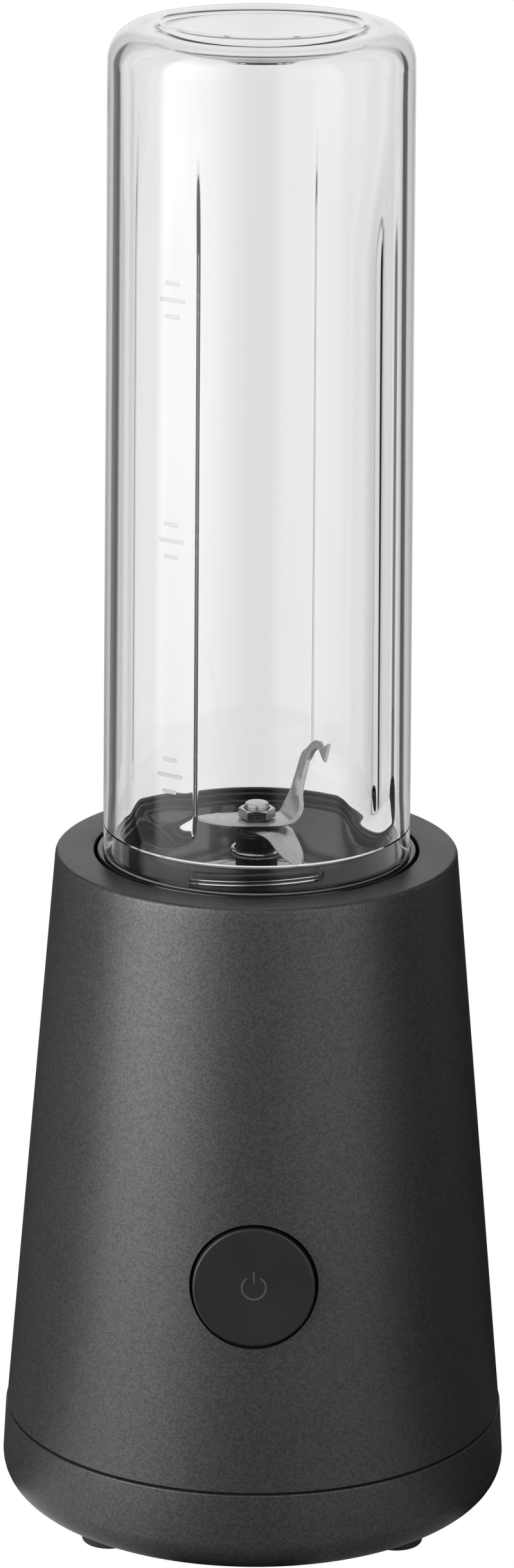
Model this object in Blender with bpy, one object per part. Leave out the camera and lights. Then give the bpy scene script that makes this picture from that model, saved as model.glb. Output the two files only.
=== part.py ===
"""Countertop personal blender: motor base, bayonet blade holder and inverted clear cup.

Lengths in this file are millimetres and are turned into metres as each vertex is made.
The front of the blender faces -Y, +Z is up and the feet stand on z = 0.
"""

import math

import bmesh
import bpy
from mathutils import Matrix, Vector

MM = 0.001
GAP = 0.3  # running and assembly gap between neighbouring pieces

# Motor base
BASE_RADIUS = 64.0
BASE_EDGE_RADIUS = 8.0
PAN_BOTTOM = 2.5
PAN_FLOOR = 5.3
SEAM_Z = 24.4
PAN_TOP_RADIUS = 63.2
HOUSING_BOTTOM_RADIUS = 62.86
HOUSING_TOP_RADIUS = 50.0
HOUSING_TOP = 171.0
HOUSING_WALL = 2.6
HOUSING_SKIN = 2.8
WELL_RADIUS = 40.4
FOOT_OFFSET = 36.0
FOOT_RADIUS = 6.8
SCREW_RING = 55.0
SCREW_AZIMUTHS = (12.0, 168.0, 192.0, 348.0)
GLAND_Z = 17.0

# Front button, measured from where its axis crosses the front wall
BUTTON_Z = 77.0
BUTTON_HOLE_RADIUS = 15.8
BUTTON_RADIUS = 15.0
BUTTON_STEM = -11.1
BUTTON_TRAVEL = 1.8

# Well that the blade holder drops into
COLLAR_INNER = 40.3
COLLAR_OUTER = 42.4
COLLAR_TOP = 159.5
COLLAR_FLOOR = 124.0
COLLAR_BOTTOM = 121.0
DRIVE_HOLE = 14.0
TWIST_DEGREES = 30.0
CAM_RISE = 2.0
COLLAR_SCREW_RING = 45.4
COLLAR_SCREW_AZIMUTHS = (30.0, 150.0, 270.0)
PIN_RING = 37.6
PIN_AZIMUTH = 90.0
LUG_START = PIN_AZIMUTH - 38.0
LUG_END = PIN_AZIMUTH + 4.0
LUG_LOW = 138.6

# Blade holder and cup
HOLDER_RADIUS = 37.2
HOLDER_BOTTOM = 142.0
BOWL_FLOOR = 158.0
FLANGE_RADIUS = 39.7
FLANGE_TOP = 171.0
THREAD_ROOT = 34.9
THREAD_CREST = 36.0
THREAD_TOP = 176.3
THREAD_LEAD = 9.0
CUP_RIM = 171.3
CUP_RIM_RADIUS = 38.2
CUP_TOP = 377.2
CUP_TOP_RADIUS = 36.9
CUP_WALL = 1.9
CUP_RIB_AZIMUTH = 47.0
CUP_RIB_DEPTH = 2.2
CUP_RIB_LOW = 178.5
CUP_RIB_HIGH = 352.0

# Drive line
SHAFT_RADIUS = 3.0
SHAFT_BORE = SHAFT_RADIUS + GAP
STATOR_RADIUS = 36.0
STATOR_BOTTOM = 64.0
STATOR_TOP = 90.0
BOLT_RING = 32.5
BRUSH_Z = 49.0

ROUND = 48      # segments of the large round pieces
SMALL = 20      # segments of shafts and bores
TINY = 12       # segments of screws


# ---------------------------------------------------------------- general helpers

def clear_scene():
    for obj in list(bpy.data.objects):
        bpy.data.objects.remove(obj, do_unlink=True)


def material(name, colour, roughness, metallic=0.0, alpha=1.0):
    mat = bpy.data.materials.new(name)
    mat.use_nodes = True
    shader = mat.node_tree.nodes["Principled BSDF"]
    shader.inputs["Base Color"].default_value = (*colour, 1.0)
    shader.inputs["Roughness"].default_value = roughness
    shader.inputs["Metallic"].default_value = metallic
    shader.inputs["Alpha"].default_value = alpha
    mat.diffuse_color = (*colour, alpha)
    return mat


def point(x, y, z):
    return Vector((x * MM, y * MM, z * MM))


def polar(radius, degrees, z):
    angle = math.radians(degrees)
    return point(radius * math.cos(angle), radius * math.sin(angle), z)


def finish(name, bm, mat, parent=None, placement=None):
    """Turn a bmesh into a named object, with smooth shading on its round faces."""
    bmesh.ops.recalc_face_normals(bm, faces=bm.faces)
    mesh = bpy.data.meshes.new(name)
    bm.to_mesh(mesh)
    bm.free()
    mesh.materials.append(mat)
    mesh.shade_smooth()
    mesh.set_sharp_from_angle(angle=math.radians(32.0))
    obj = bpy.data.objects.new(name, mesh)
    bpy.context.scene.collection.objects.link(obj)
    if parent is not None:
        obj.parent = parent
        obj.matrix_parent_inverse = Matrix.Translation(-parent.location)
    if placement is not None:
        obj.matrix_basis = placement
    return obj


def empty(name, x=0.0, y=0.0, z=0.0, parent=None):
    obj = bpy.data.objects.new(name, None)
    obj.empty_display_size = 0.02
    obj.location = point(x, y, z)
    bpy.context.scene.collection.objects.link(obj)
    if parent is not None:
        obj.parent = parent
        obj.matrix_parent_inverse = Matrix.Translation(-parent.location)
    return obj


def boolean(target, tool_name, bm, operation, placement=None):
    """Add a live Boolean with a hidden helper made from bm."""
    tool = finish(tool_name, bm, target.data.materials[0])
    if placement is not None:
        tool.matrix_world = placement
    tool.hide_render = True
    tool.display_type = "WIRE"
    modifier = target.modifiers.new(tool_name, "BOOLEAN")
    modifier.operation = operation
    modifier.solver = "EXACT"
    modifier.object = tool
    return tool


def revolve(profile, segments=ROUND, bm=None, axis_x=0.0, axis_y=0.0):
    """Spin a profile of (radius, z) about a vertical axis. A profile that starts and ends on
    the axis makes a solid, and any other is closed into a ring."""
    bm = bm or bmesh.new()
    verts = [bm.verts.new(point(axis_x + r, axis_y, z)) for r, z in profile]
    edges = [bm.edges.new(pair) for pair in zip(verts, verts[1:])]
    if profile[0][0] > 0.0:
        edges.append(bm.edges.new((verts[-1], verts[0])))
    bmesh.ops.spin(
        bm, geom=verts + edges, cent=point(axis_x, axis_y, 0.0), axis=(0.0, 0.0, 1.0),
        angle=math.tau, steps=segments, use_duplicate=False,
    )
    bmesh.ops.remove_doubles(bm, verts=bm.verts, dist=1e-6)
    return bm


def fillet(before, corner, after, radius, steps=4):
    """Points of the arc that rounds one corner of a profile."""
    a = Vector(before) - Vector(corner)
    b = Vector(after) - Vector(corner)
    a.normalize()
    b.normalize()
    half = a.angle(b) / 2.0
    reach = radius / math.tan(half)
    centre = Vector(corner) + (a + b).normalized() * radius / math.sin(half)
    first = Vector(corner) + a * reach - centre
    last = Vector(corner) + b * reach - centre
    turn = first.angle_signed(last)
    points = []
    for step in range(steps + 1):
        rotation = Matrix.Rotation(-turn * step / steps, 2)
        points.append(tuple(centre + rotation @ first))
    return points


def rounded(corners, steps=4):
    """Profile from (r, z) or (r, z, radius) corners, each rounded by its radius."""
    profile = []
    for index, corner in enumerate(corners):
        if len(corner) == 2:
            profile.append(corner)
            continue
        before = corners[index - 1][:2]
        after = corners[(index + 1) % len(corners)][:2]
        profile += fillet(before, corner[:2], after, corner[2], steps)
    return profile


def tube(inner, outer, low, high, segments=SMALL, bm=None, axis_x=0.0, axis_y=0.0):
    profile = [(inner, low), (outer, low), (outer, high), (inner, high)]
    return revolve(profile, segments, bm, axis_x, axis_y)


def rod(radius, low, high, segments=SMALL, bm=None, axis_x=0.0, axis_y=0.0):
    profile = [(0.0, low), (radius, low), (radius, high), (0.0, high)]
    return revolve(profile, segments, bm, axis_x, axis_y)


def box(low, high, bm=None, turn=0.0):
    """Box between two corners, turned about the vertical axis by some degrees."""
    bm = bm or bmesh.new()
    low_corner = point(*low)
    size = point(*high) - low_corner
    place = Matrix.Rotation(math.radians(turn), 4, "Z")
    place = place @ Matrix.Translation(low_corner + size / 2.0) @ Matrix.Diagonal((*size, 1.0))
    bmesh.ops.create_cube(bm, size=1.0, matrix=place)
    return bm


def prism(outline, low, high, bm=None, bore=None):
    """Upright prism of an (x, y) outline, with a round bore when one is asked for."""
    bm = bm or bmesh.new()
    loops = []
    for z in (low, high):
        outer = [bm.verts.new(point(x, y, z)) for x, y in outline]
        inner = []
        if bore:
            inner = [bm.verts.new(polar(bore, 360.0 * i / SMALL, z)) for i in range(SMALL)]
        loops.append((outer, inner))
    for ring_low, ring_high in zip(loops[0], loops[1]):
        count = len(ring_low)
        for i in range(count):
            j = (i + 1) % count
            bm.faces.new((ring_low[i], ring_low[j], ring_high[j], ring_high[i]))
    for outer, inner in loops:
        if not inner:
            bm.faces.new(outer)
            continue
        edges = [bm.edges.get((ring[i - 1], ring[i])) for ring in (outer, inner) for i in range(len(ring))]
        bmesh.ops.triangle_fill(bm, edges=edges, use_beauty=True)
    return bm


def loft(rings, bm=None):
    """Skin rings of equal length, and close each end with one face."""
    bm = bm or bmesh.new()
    made = [[bm.verts.new(p) for p in ring] for ring in rings]
    count = len(made[0])
    for ring, following in zip(made, made[1:]):
        for i in range(count):
            j = (i + 1) % count
            bm.faces.new((ring[i], ring[j], following[j], following[i]))
    bm.faces.new(made[0])
    bm.faces.new(made[-1])
    return bm


def arc_block(first, last, start, end, steps, bm=None):
    """Sweep a (radius, z) section about the Z axis while it changes from first to last."""
    rings = []
    for step in range(steps + 1):
        share = step / steps
        azimuth = start + (end - start) * share
        ring = []
        for (r0, z0), (r1, z1) in zip(first, last):
            ring.append(polar(r0 + (r1 - r0) * share, azimuth, z0 + (z1 - z0) * share))
        rings.append(ring)
    return loft(rings, bm)


def toothed(root, tip, teeth, root_half, tip_half):
    """Outline of evenly spaced teeth, given by the half-angles of a tooth in degrees."""
    outline = []
    for tooth in range(teeth):
        centre = 360.0 * tooth / teeth
        corners = ((root, -root_half), (tip, -tip_half), (tip, tip_half), (root, root_half))
        for radius, offset in corners:
            angle = math.radians(centre + offset)
            outline.append((radius * math.cos(angle), radius * math.sin(angle)))
    return outline


def wall_radius(z):
    """Outer radius of the tapered housing at a height."""
    share = (z - SEAM_Z) / (HOUSING_TOP - SEAM_Z)
    return HOUSING_BOTTOM_RADIUS + (HOUSING_TOP_RADIUS - HOUSING_BOTTOM_RADIUS) * share


# ---------------------------------------------------------------- materials

ANTHRACITE = material("anthracite_shell", (0.06, 0.06, 0.065), 0.38, 0.25)
BUTTON = material("button_plastic", (0.025, 0.025, 0.027), 0.35)
BLACK = material("black_plastic", (0.012, 0.012, 0.013), 0.25)
INNER = material("inner_plastic", (0.035, 0.035, 0.037), 0.5)
CLEAR = material("clear_cup", (0.93, 0.95, 0.96), 0.03, 0.0, 0.28)
STEEL = material("stainless_steel", (0.62, 0.62, 0.63), 0.22, 1.0)
DARK_STEEL = material("lamination_steel", (0.25, 0.25, 0.27), 0.45, 0.9)
COPPER = material("copper_winding", (0.72, 0.33, 0.16), 0.35, 0.9)
RUBBER = material("black_rubber", (0.02, 0.02, 0.02), 0.8)
SEAL = material("silicone_seal", (0.30, 0.31, 0.32), 0.6)
CARBON = material("carbon_brush", (0.05, 0.05, 0.055), 0.7)
BOARD = material("circuit_board", (0.03, 0.16, 0.07), 0.45)
ZINC = material("zinc_screw", (0.55, 0.56, 0.58), 0.3, 1.0)
WHITE = material("white_nylon", (0.75, 0.75, 0.72), 0.45)


# ---------------------------------------------------------------- motor base shell

def screw_places():
    for azimuth in SCREW_AZIMUTHS:
        angle = math.radians(azimuth)
        yield SCREW_RING * math.cos(angle), SCREW_RING * math.sin(angle)


def make_base_pan():
    inner = BASE_RADIUS - 2.5
    profile = rounded([
        (0.0, PAN_BOTTOM),
        (BASE_RADIUS, PAN_BOTTOM, BASE_EDGE_RADIUS),
        (BASE_RADIUS, PAN_BOTTOM + BASE_EDGE_RADIUS + 0.1),
        (PAN_TOP_RADIUS, SEAM_Z - GAP),
        (PAN_TOP_RADIUS - 2.3, SEAM_Z - GAP),
        (inner, PAN_FLOOR, BASE_EDGE_RADIUS - 2.8),
        (0.0, PAN_FLOOR),
    ], steps=4)
    pan = finish("base_pan", revolve(profile), ANTHRACITE)
    posts = bmesh.new()
    for x, y in screw_places():
        rod(5.0, PAN_FLOOR - 1.0, 22.0, TINY, posts, x, y)
    for side in (-1, 1):
        box((side * 15.0 - 2.0, 43.0, PAN_FLOOR - 1.0), (side * 15.0 + 2.0, 47.0, 35.7), posts)
    box((-10.0, 48.0, PAN_FLOOR - 1.0), (10.0, 53.5, GLAND_Z - 3.8), posts)
    boolean(pan, "pan_posts", posts, "UNION")
    holes = bmesh.new()
    for x, y in screw_places():
        revolve([(0.0, 0.0), (3.4, 0.0), (3.4, 10.0), (1.9, 10.0), (1.9, 23.0), (0.0, 23.0)],
                TINY, holes, x, y)
    for x in (-FOOT_OFFSET, FOOT_OFFSET):
        for y in (-FOOT_OFFSET, FOOT_OFFSET):
            rod(3.3, 0.0, 8.0, TINY, holes, x, y)
    for slot in range(12):
        box((20.0, -1.6, 0.0), (35.0, 1.6, 8.0), holes, turn=30.0 * slot + 15.0)
    boolean(pan, "pan_holes", holes, "DIFFERENCE")
    inlet = Matrix.Translation(point(0.0, 0.0, GLAND_Z)) @ Matrix.Rotation(math.radians(-90.0), 4, "X")
    boolean(pan, "cord_inlet", rod(5.3, 56.0, 70.0), "DIFFERENCE", inlet)
    return pan


def make_feet():
    profile = [
        (0.0, 0.0), (FOOT_RADIUS - 0.6, 0.0), (FOOT_RADIUS, 0.6), (FOOT_RADIUS, PAN_BOTTOM - GAP),
        (3.0, PAN_BOTTOM - GAP), (3.0, 5.7), (4.0, 5.8), (2.4, 8.0), (0.0, 8.0),
    ]
    number = 0
    for x in (-FOOT_OFFSET, FOOT_OFFSET):
        for y in (-FOOT_OFFSET, FOOT_OFFSET):
            number += 1
            foot = finish(f"foot_{number}", revolve(profile, 16), RUBBER)
            foot.location = point(x, y, 0.0)


def make_base_screws():
    profile = [(0.0, 6.6), (2.6, 6.6), (3.0, 7.0), (3.0, 9.7), (1.6, 9.7), (1.6, 40.0), (0.0, 40.6)]
    for number, (x, y) in enumerate(screw_places(), 1):
        screw = finish(f"base_screw_{number}", revolve(profile, TINY), ZINC)
        screw.location = point(x, y, 0.0)


def make_cord_inlet():
    along_y = Matrix.Translation(point(0.0, 0.0, GLAND_Z)) @ Matrix.Rotation(math.radians(-90.0), 4, "X")
    gland = [(3.2, 56.0), (7.0, 56.0), (7.0, 59.0), (5.0, 59.4), (5.0, 62.6), (4.6, 63.1), (3.2, 63.1)]
    finish("cord_gland", revolve(gland, SMALL), RUBBER, placement=along_y)
    clamp = finish("cord_clamp", box((-9.0, 48.6, GLAND_Z + 0.4), (9.0, 53.0, GLAND_Z + 4.0)), INNER)
    boolean(clamp, "cord_groove", rod(3.2, 45.0, 57.0), "DIFFERENCE",
            along_y @ Matrix.Translation(point(0.0, 0.8, 0.0)))
    for number, side in ((1, -1), (2, 1)):
        obj = finish(f"clamp_pillar_{number}", rod(1.9, GLAND_Z - 3.5, GLAND_Z + 0.1, TINY), ZINC)
        obj.location = point(side * 7.0, 50.8, 0.0)


def collar_screw_places():
    for azimuth in COLLAR_SCREW_AZIMUTHS:
        angle = math.radians(azimuth)
        yield COLLAR_SCREW_RING * math.cos(angle), COLLAR_SCREW_RING * math.sin(angle)


def button_frame():
    """Placement whose +Z is the outward normal of the front wall at the button."""
    slope = math.atan2(HOUSING_BOTTOM_RADIUS - HOUSING_TOP_RADIUS, HOUSING_TOP - SEAM_Z)
    turn = Matrix.Rotation(math.radians(90.0) - slope, 4, "X")
    return Matrix.Translation(point(0.0, -wall_radius(BUTTON_Z), BUTTON_Z)) @ turn


def make_housing():
    skin = HOUSING_TOP - HOUSING_SKIN
    profile = rounded([
        (HOUSING_BOTTOM_RADIUS, SEAM_Z),
        (HOUSING_TOP_RADIUS, HOUSING_TOP, 1.0),
        (WELL_RADIUS, HOUSING_TOP, 0.5),
        (WELL_RADIUS, 160.2),
        (WELL_RADIUS + 2.2, 160.2),
        (WELL_RADIUS + 2.2, skin),
        (wall_radius(skin) - HOUSING_WALL, skin),
        (HOUSING_BOTTOM_RADIUS - HOUSING_WALL, SEAM_Z),
    ], steps=3)
    housing = finish("housing", revolve(profile), ANTHRACITE)
    posts = bmesh.new()
    for x, y in screw_places():
        rod(5.0, SEAM_Z + 0.4, 45.0, TINY, posts, x, y)
    for x, y in collar_screw_places():
        rod(3.0, 160.0, skin + 0.6, TINY, posts, x, y)
    boolean(housing, "housing_posts", posts, "UNION")
    holes = bmesh.new()
    for x, y in screw_places():
        rod(1.9, SEAM_Z, 42.0, TINY, holes, x, y)
    for x, y in collar_screw_places():
        rod(1.5, 158.0, 167.0, TINY, holes, x, y)
    boolean(housing, "housing_holes", holes, "DIFFERENCE")
    boolean(housing, "button_opening", rod(BUTTON_HOLE_RADIUS, -12.0, 12.0, 36), "DIFFERENCE",
            button_frame())
    return housing


def make_locking_collar():
    profile = [
        (COLLAR_INNER, COLLAR_TOP), (48.2, COLLAR_TOP), (48.2, COLLAR_TOP - 3.0),
        (COLLAR_OUTER, COLLAR_TOP - 3.0), (COLLAR_OUTER, COLLAR_BOTTOM), (DRIVE_HOLE, COLLAR_BOTTOM),
        (DRIVE_HOLE, COLLAR_FLOOR), (COLLAR_INNER, COLLAR_FLOOR),
    ]
    collar = finish("locking_collar", revolve(profile), BLACK)
    stops = bmesh.new()
    section = [(37.9, 123.5), (41.0, 123.5), (41.0, 148.0), (37.9, 148.0)]
    for third in range(3):
        start = LUG_END + TWIST_DEGREES + 1.0 + 120.0 * third
        end = LUG_START - 1.0 + 120.0 * (third + 1)
        arc_block(section, section, start, end, 8, stops)
    for side in (-1, 1):
        box((side * 12.0 - 1.3, 35.2, 99.0), (side * 12.0 + 1.3, 40.6, COLLAR_BOTTOM + 0.8), stops)
    boolean(collar, "collar_stops", stops, "UNION")
    holes = bmesh.new()
    for x, y in collar_screw_places():
        rod(1.5, 150.0, 165.0, TINY, holes, x, y)
    rod(2.4, 118.0, 130.0, TINY, holes, 0.0, PIN_RING)
    boolean(collar, "collar_holes", holes, "DIFFERENCE")
    return collar


def make_splash_seal():
    """Rubber ring in the drive hole that keeps drips away from the motor."""
    snug = DRIVE_HOLE - GAP
    above = COLLAR_FLOOR + GAP
    profile = [
        (13.1, 122.0), (snug, 122.0), (snug, above), (16.2, above), (16.2, above + 1.0),
        (14.6, above + 1.0), (14.4, 128.0), (13.1, 128.0),
    ]
    finish("splash_seal", revolve(profile, 32), RUBBER)


def make_collar_screws():
    profile = [
        (0.0, 153.4), (2.0, 153.4), (2.2, 153.8), (2.2, 156.2), (1.2, 156.2), (1.2, 166.0), (0.0, 166.4),
    ]
    for number, (x, y) in enumerate(collar_screw_places(), 1):
        screw = finish(f"collar_screw_{number}", revolve(profile, TINY), ZINC)
        screw.location = point(x, y, 0.0)


# ---------------------------------------------------------------- blade holder and blades

def make_blade_holder(parent):
    profile = [
        (33.4, THREAD_TOP), (THREAD_ROOT - 0.4, THREAD_TOP), (THREAD_ROOT, THREAD_TOP - 0.4),
        (THREAD_ROOT, 169.6), (38.2, 169.6), (38.3, 170.8), (38.6, FLANGE_TOP), (39.3, FLANGE_TOP),
        (FLANGE_RADIUS, 170.5), (FLANGE_RADIUS, 168.6), (HOLDER_RADIUS, 167.8),
        (HOLDER_RADIUS, HOLDER_BOTTOM), (35.0, HOLDER_BOTTOM), (35.0, BOWL_FLOOR - 3.8),
        (33.6, BOWL_FLOOR - 2.4), (9.6, BOWL_FLOOR - 2.4), (9.4, 148.0), (6.8, 148.0),
        (6.8, BOWL_FLOOR), (31.4, BOWL_FLOOR), (33.4, BOWL_FLOOR + 2.0),
    ]
    holder = finish("blade_holder", revolve(profile), BLACK, parent)
    lugs = bmesh.new()
    inside = HOLDER_RADIUS - 0.8
    rise = CAM_RISE * (LUG_END - LUG_START) / TWIST_DEGREES
    low_at_pin = LUG_LOW - CAM_RISE * (LUG_END - PIN_AZIMUTH) / TWIST_DEGREES
    for third in range(3):
        shift = 120.0 * third
        first = [(inside, low_at_pin + rise), (39.7, low_at_pin + rise), (39.7, 145.0), (inside, 146.5)]
        last = [(inside, low_at_pin), (39.7, low_at_pin), (39.7, 145.0), (inside, 146.5)]
        arc_block(first, last, LUG_START + shift, LUG_END + shift, 10, lugs)
    boolean(holder, "holder_lugs", lugs, "UNION")
    threads = bmesh.new()
    sunk = THREAD_ROOT - 0.5
    section = [(sunk, -0.95), (THREAD_CREST, -0.3), (THREAD_CREST, 0.3), (sunk, 0.95)]
    thread_ridges(section, 175.05, 30.0, threads)
    boolean(holder, "holder_threads", threads, "UNION")
    return holder


def thread_ridges(section, middle, azimuth, bm):
    """Three starts of a right-hand thread, each 56 degrees long."""
    half = 28.0
    climb = THREAD_LEAD * half / 360.0
    for start in range(3):
        centre = azimuth + 120.0 * start
        first = [(r, middle - climb + dz) for r, dz in section]
        last = [(r, middle + climb + dz) for r, dz in section]
        arc_block(first, last, centre - half, centre + half, 10, bm)


def make_bearing_group(parent):
    bush = [
        (SHAFT_BORE, 148.4), (6.5, 148.4), (6.5, BOWL_FLOOR + 0.5), (5.2, BOWL_FLOOR + 0.9), (5.2, 175.4),
        (4.9, 175.8), (4.7, 175.8), (4.7, 172.6), (SHAFT_BORE, 172.6),
    ]
    finish("blade_bearing", revolve(bush, SMALL), BLACK, parent)
    finish("shaft_seal", tube(SHAFT_BORE, 4.4, 172.9, 175.9), SEAL, parent)
    ring = [(5.5, 171.0), (6.2, 170.8), (6.5, 171.1), (6.4, 172.0), (5.5, 172.3)]
    finish("hub_ring", revolve(ring, SMALL), STEEL, parent)


def blade_strip(stations, thickness):
    """Flat blade through stations of (x, y, z, half width, azimuth of its width)."""
    centres = [point(x, y, z) for x, y, z, _, _ in stations]
    rings = []
    for index, (_, _, _, half_width, azimuth) in enumerate(stations):
        before = centres[max(index - 1, 0)]
        after = centres[min(index + 1, len(stations) - 1)]
        along = (after - before).normalized()
        across = polar(half_width, azimuth, 0.0)
        normal = across.cross(along).normalized() * thickness / 2.0 * MM
        centre = centres[index]
        rings.append([
            centre - across - normal, centre + across - normal,
            centre + across + normal, centre - across + normal,
        ])
    return loft(rings)


def make_rotor(parent):
    shaft = [(0.0, 141.8), (SHAFT_RADIUS, 141.8), (SHAFT_RADIUS, 182.6), (2.4, 183.2), (0.0, 183.4)]
    finish("blade_shaft", revolve(shaft, SMALL), STEEL, parent)
    upper = [
        (-16.2, -1.2, 179.2, 0.5, -90.0), (-12.6, -1.0, 179.0, 3.4, -90.0), (-7.0, -0.6, 178.7, 5.6, -90.0),
        (0.0, 0.0, 178.7, 6.2, -90.0), (5.2, 0.1, 178.7, 5.8, -84.0), (7.6, 0.3, 179.5, 5.2, -70.0),
        (9.2, 1.0, 182.2, 4.2, -58.0), (10.0, 2.1, 186.0, 2.4, -53.0), (12.4, 2.3, 195.0, 1.8, -53.0),
        (13.8, 1.2, 198.2, 1.6, -53.0), (16.2, -1.0, 199.0, 0.5, -53.0),
    ]
    blade = finish("blade_upper", blade_strip(upper, 1.0), STEEL, parent)
    boolean(blade, "upper_bore", rod(SHAFT_BORE, 170.0, 190.0), "DIFFERENCE")
    arm = math.radians(-48.0)
    lower = []
    sections = ((-15.5, 176.2, 0.8), (-11.0, 176.8, 3.4), (-6.0, 177.3, 4.8), (0.0, 177.3, 5.4),
                (6.0, 177.3, 5.0), (9.0, 176.5, 4.4), (13.0, 173.3, 3.4), (16.5, 170.4, 0.6))
    for distance, z, half_width in sections:
        lower.append((distance * math.cos(arm), distance * math.sin(arm), z, half_width, -138.0))
    blade = finish("blade_lower", blade_strip(lower, 1.0), STEEL, parent)
    boolean(blade, "lower_bore", rod(SHAFT_BORE, 170.0, 190.0), "DIFFERENCE")
    nut = [(5.0 * math.cos(math.radians(60.0 * i)), 5.0 * math.sin(math.radians(60.0 * i))) for i in range(6)]
    finish("blade_nut", prism(nut, 179.5, 182.3, bore=SHAFT_BORE), STEEL, parent)
    socket = finish("drive_socket", rod(12.0, 131.6, 146.4, 32), INNER, parent)
    cavity = toothed(7.4, 9.2, 8, 15.5, 11.5)
    boolean(socket, "socket_cavity", prism(cavity, 130.0, 142.4), "DIFFERENCE")
    boolean(socket, "socket_bore", rod(SHAFT_BORE, 141.0, 150.0), "DIFFERENCE")


# ---------------------------------------------------------------- cup

def rib_height(offset, z):
    """Share of its full depth that a rib has, from its middle line and along its length."""
    across = (14.0 - abs(offset)) / 4.0
    foot = (z - CUP_RIB_LOW) / 3.0
    head = (CUP_RIB_HIGH - z) / 22.0
    return max(0.0, min(1.0, across)) * max(0.0, min(1.0, foot)) * max(0.0, min(1.0, head))


def cup_outside(z):
    share = (z - CUP_RIM) / (CUP_TOP - CUP_RIM)
    return CUP_RIM_RADIUS + (CUP_TOP_RADIUS - CUP_RIM_RADIUS) * share


def cup_azimuths():
    """(azimuth, offset from the nearest rib) round the cup, closer together at each rib edge."""
    offsets = (-14.0, -10.0, -4.0, 4.0, 10.0, 14.0, 22.0, 30.0, 38.0, 46.0, 54.0, 62.0, 69.0)
    return [(CUP_RIB_AZIMUTH + 90.0 * quarter + o, o) for quarter in range(4) for o in offsets]


def make_cup(parent):
    azimuths = cup_azimuths()
    roof = CUP_TOP - 3.8
    corner = (cup_outside(roof) - CUP_WALL, roof)
    inner_fillet = fillet((0.0, roof), corner, (corner[0], roof - 20.0), 6.0, 4)
    heights = [352.0, 330.0, 181.5, 178.5]
    outer_fillet = fillet((cup_outside(300.0), 300.0), (CUP_TOP_RADIUS, CUP_TOP), (0.0, CUP_TOP), 7.5, 5)
    rings = []
    for radius, z in [(12.0, roof - 0.6)] + inner_fillet:
        rings.append([polar(radius, azimuth, z) for azimuth, _ in azimuths])
    for z in heights:
        wall = cup_outside(z) - CUP_WALL
        rings.append([
            polar(wall - CUP_RIB_DEPTH * rib_height(offset, z), azimuth, z) for azimuth, offset in azimuths
        ])
    outside = [
        (36.4, 176.9), (36.4, CUP_RIM + 0.4), (36.8, CUP_RIM), (37.8, CUP_RIM),
        (CUP_RIM_RADIUS, CUP_RIM + 0.4), (cup_outside(280.0), 280.0),
    ]
    outside += outer_fillet
    outside += [(28.8, CUP_TOP - 0.3), (27.6, CUP_TOP - 1.4), (14.0, CUP_TOP - 1.0)]
    for radius, z in outside:
        rings.append([polar(radius, azimuth, z) for azimuth, _ in azimuths])
    cup = finish("cup", loft(rings), CLEAR, parent)
    threads = bmesh.new()
    section = [(36.7, -0.95), (36.7, 0.95), (35.35, 0.3), (35.35, -0.3)]
    thread_ridges(section, 173.45, 30.0, threads)
    boolean(cup, "cup_threads", threads, "UNION")
    return cup


# ---------------------------------------------------------------- motor

def make_armature(parent):
    shaft = [
        (0.0, 29.0), (2.6, 29.0), (SHAFT_RADIUS, 29.6), (SHAFT_RADIUS, 138.4), (2.6, 139.0), (0.0, 139.0),
    ]
    finish("motor_shaft", revolve(shaft, SMALL), STEEL, parent)
    core = toothed(15.5, 19.0, 12, 9.0, 12.5)
    finish("armature_core", prism(core, 63.4, 89.4, bore=SHAFT_BORE), DARK_STEEL, parent)
    for name, low, high in (("lower", 57.0, 63.0), ("upper", 89.8, 95.8)):
        ring = rounded([(6.0, low), (17.5, low, 2.0), (17.5, high, 2.0), (6.0, high)], 2)
        finish(f"armature_winding_{name}", revolve(ring, SMALL), COPPER, parent)
    bars = toothed(10.3, 11.0, 20, 6.4, 6.0)
    finish("commutator", prism(bars, 42.0, 55.0, bore=SHAFT_BORE), COPPER, parent)
    hub = [(SHAFT_BORE, 97.6), (27.5, 97.6), (27.5, 98.8), (8.0, 98.8), (8.0, 105.5), (SHAFT_BORE, 105.5)]
    fan = finish("cooling_fan", revolve(hub, 36), INNER, parent)
    blades = bmesh.new()
    for number in range(9):
        box((9.5, -0.6, 98.4), (26.8, 0.6, 105.2), blades, turn=40.0 * number)
    boolean(fan, "fan_blades", blades, "UNION")
    disc = [(SHAFT_BORE, 119.0), (6.0, 119.0), (6.0, 124.6), (12.4, 124.8), (12.4, 126.6), (6.0, 127.4),
            (SHAFT_BORE, 127.4)]
    coupling = finish("drive_coupling", revolve(disc, SMALL), WHITE, parent)
    spline = prism(toothed(7.0, 8.8, 8, 12.0, 8.0), 127.0, 140.6, bore=SHAFT_BORE)
    boolean(coupling, "coupling_spline", spline, "UNION")


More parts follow.
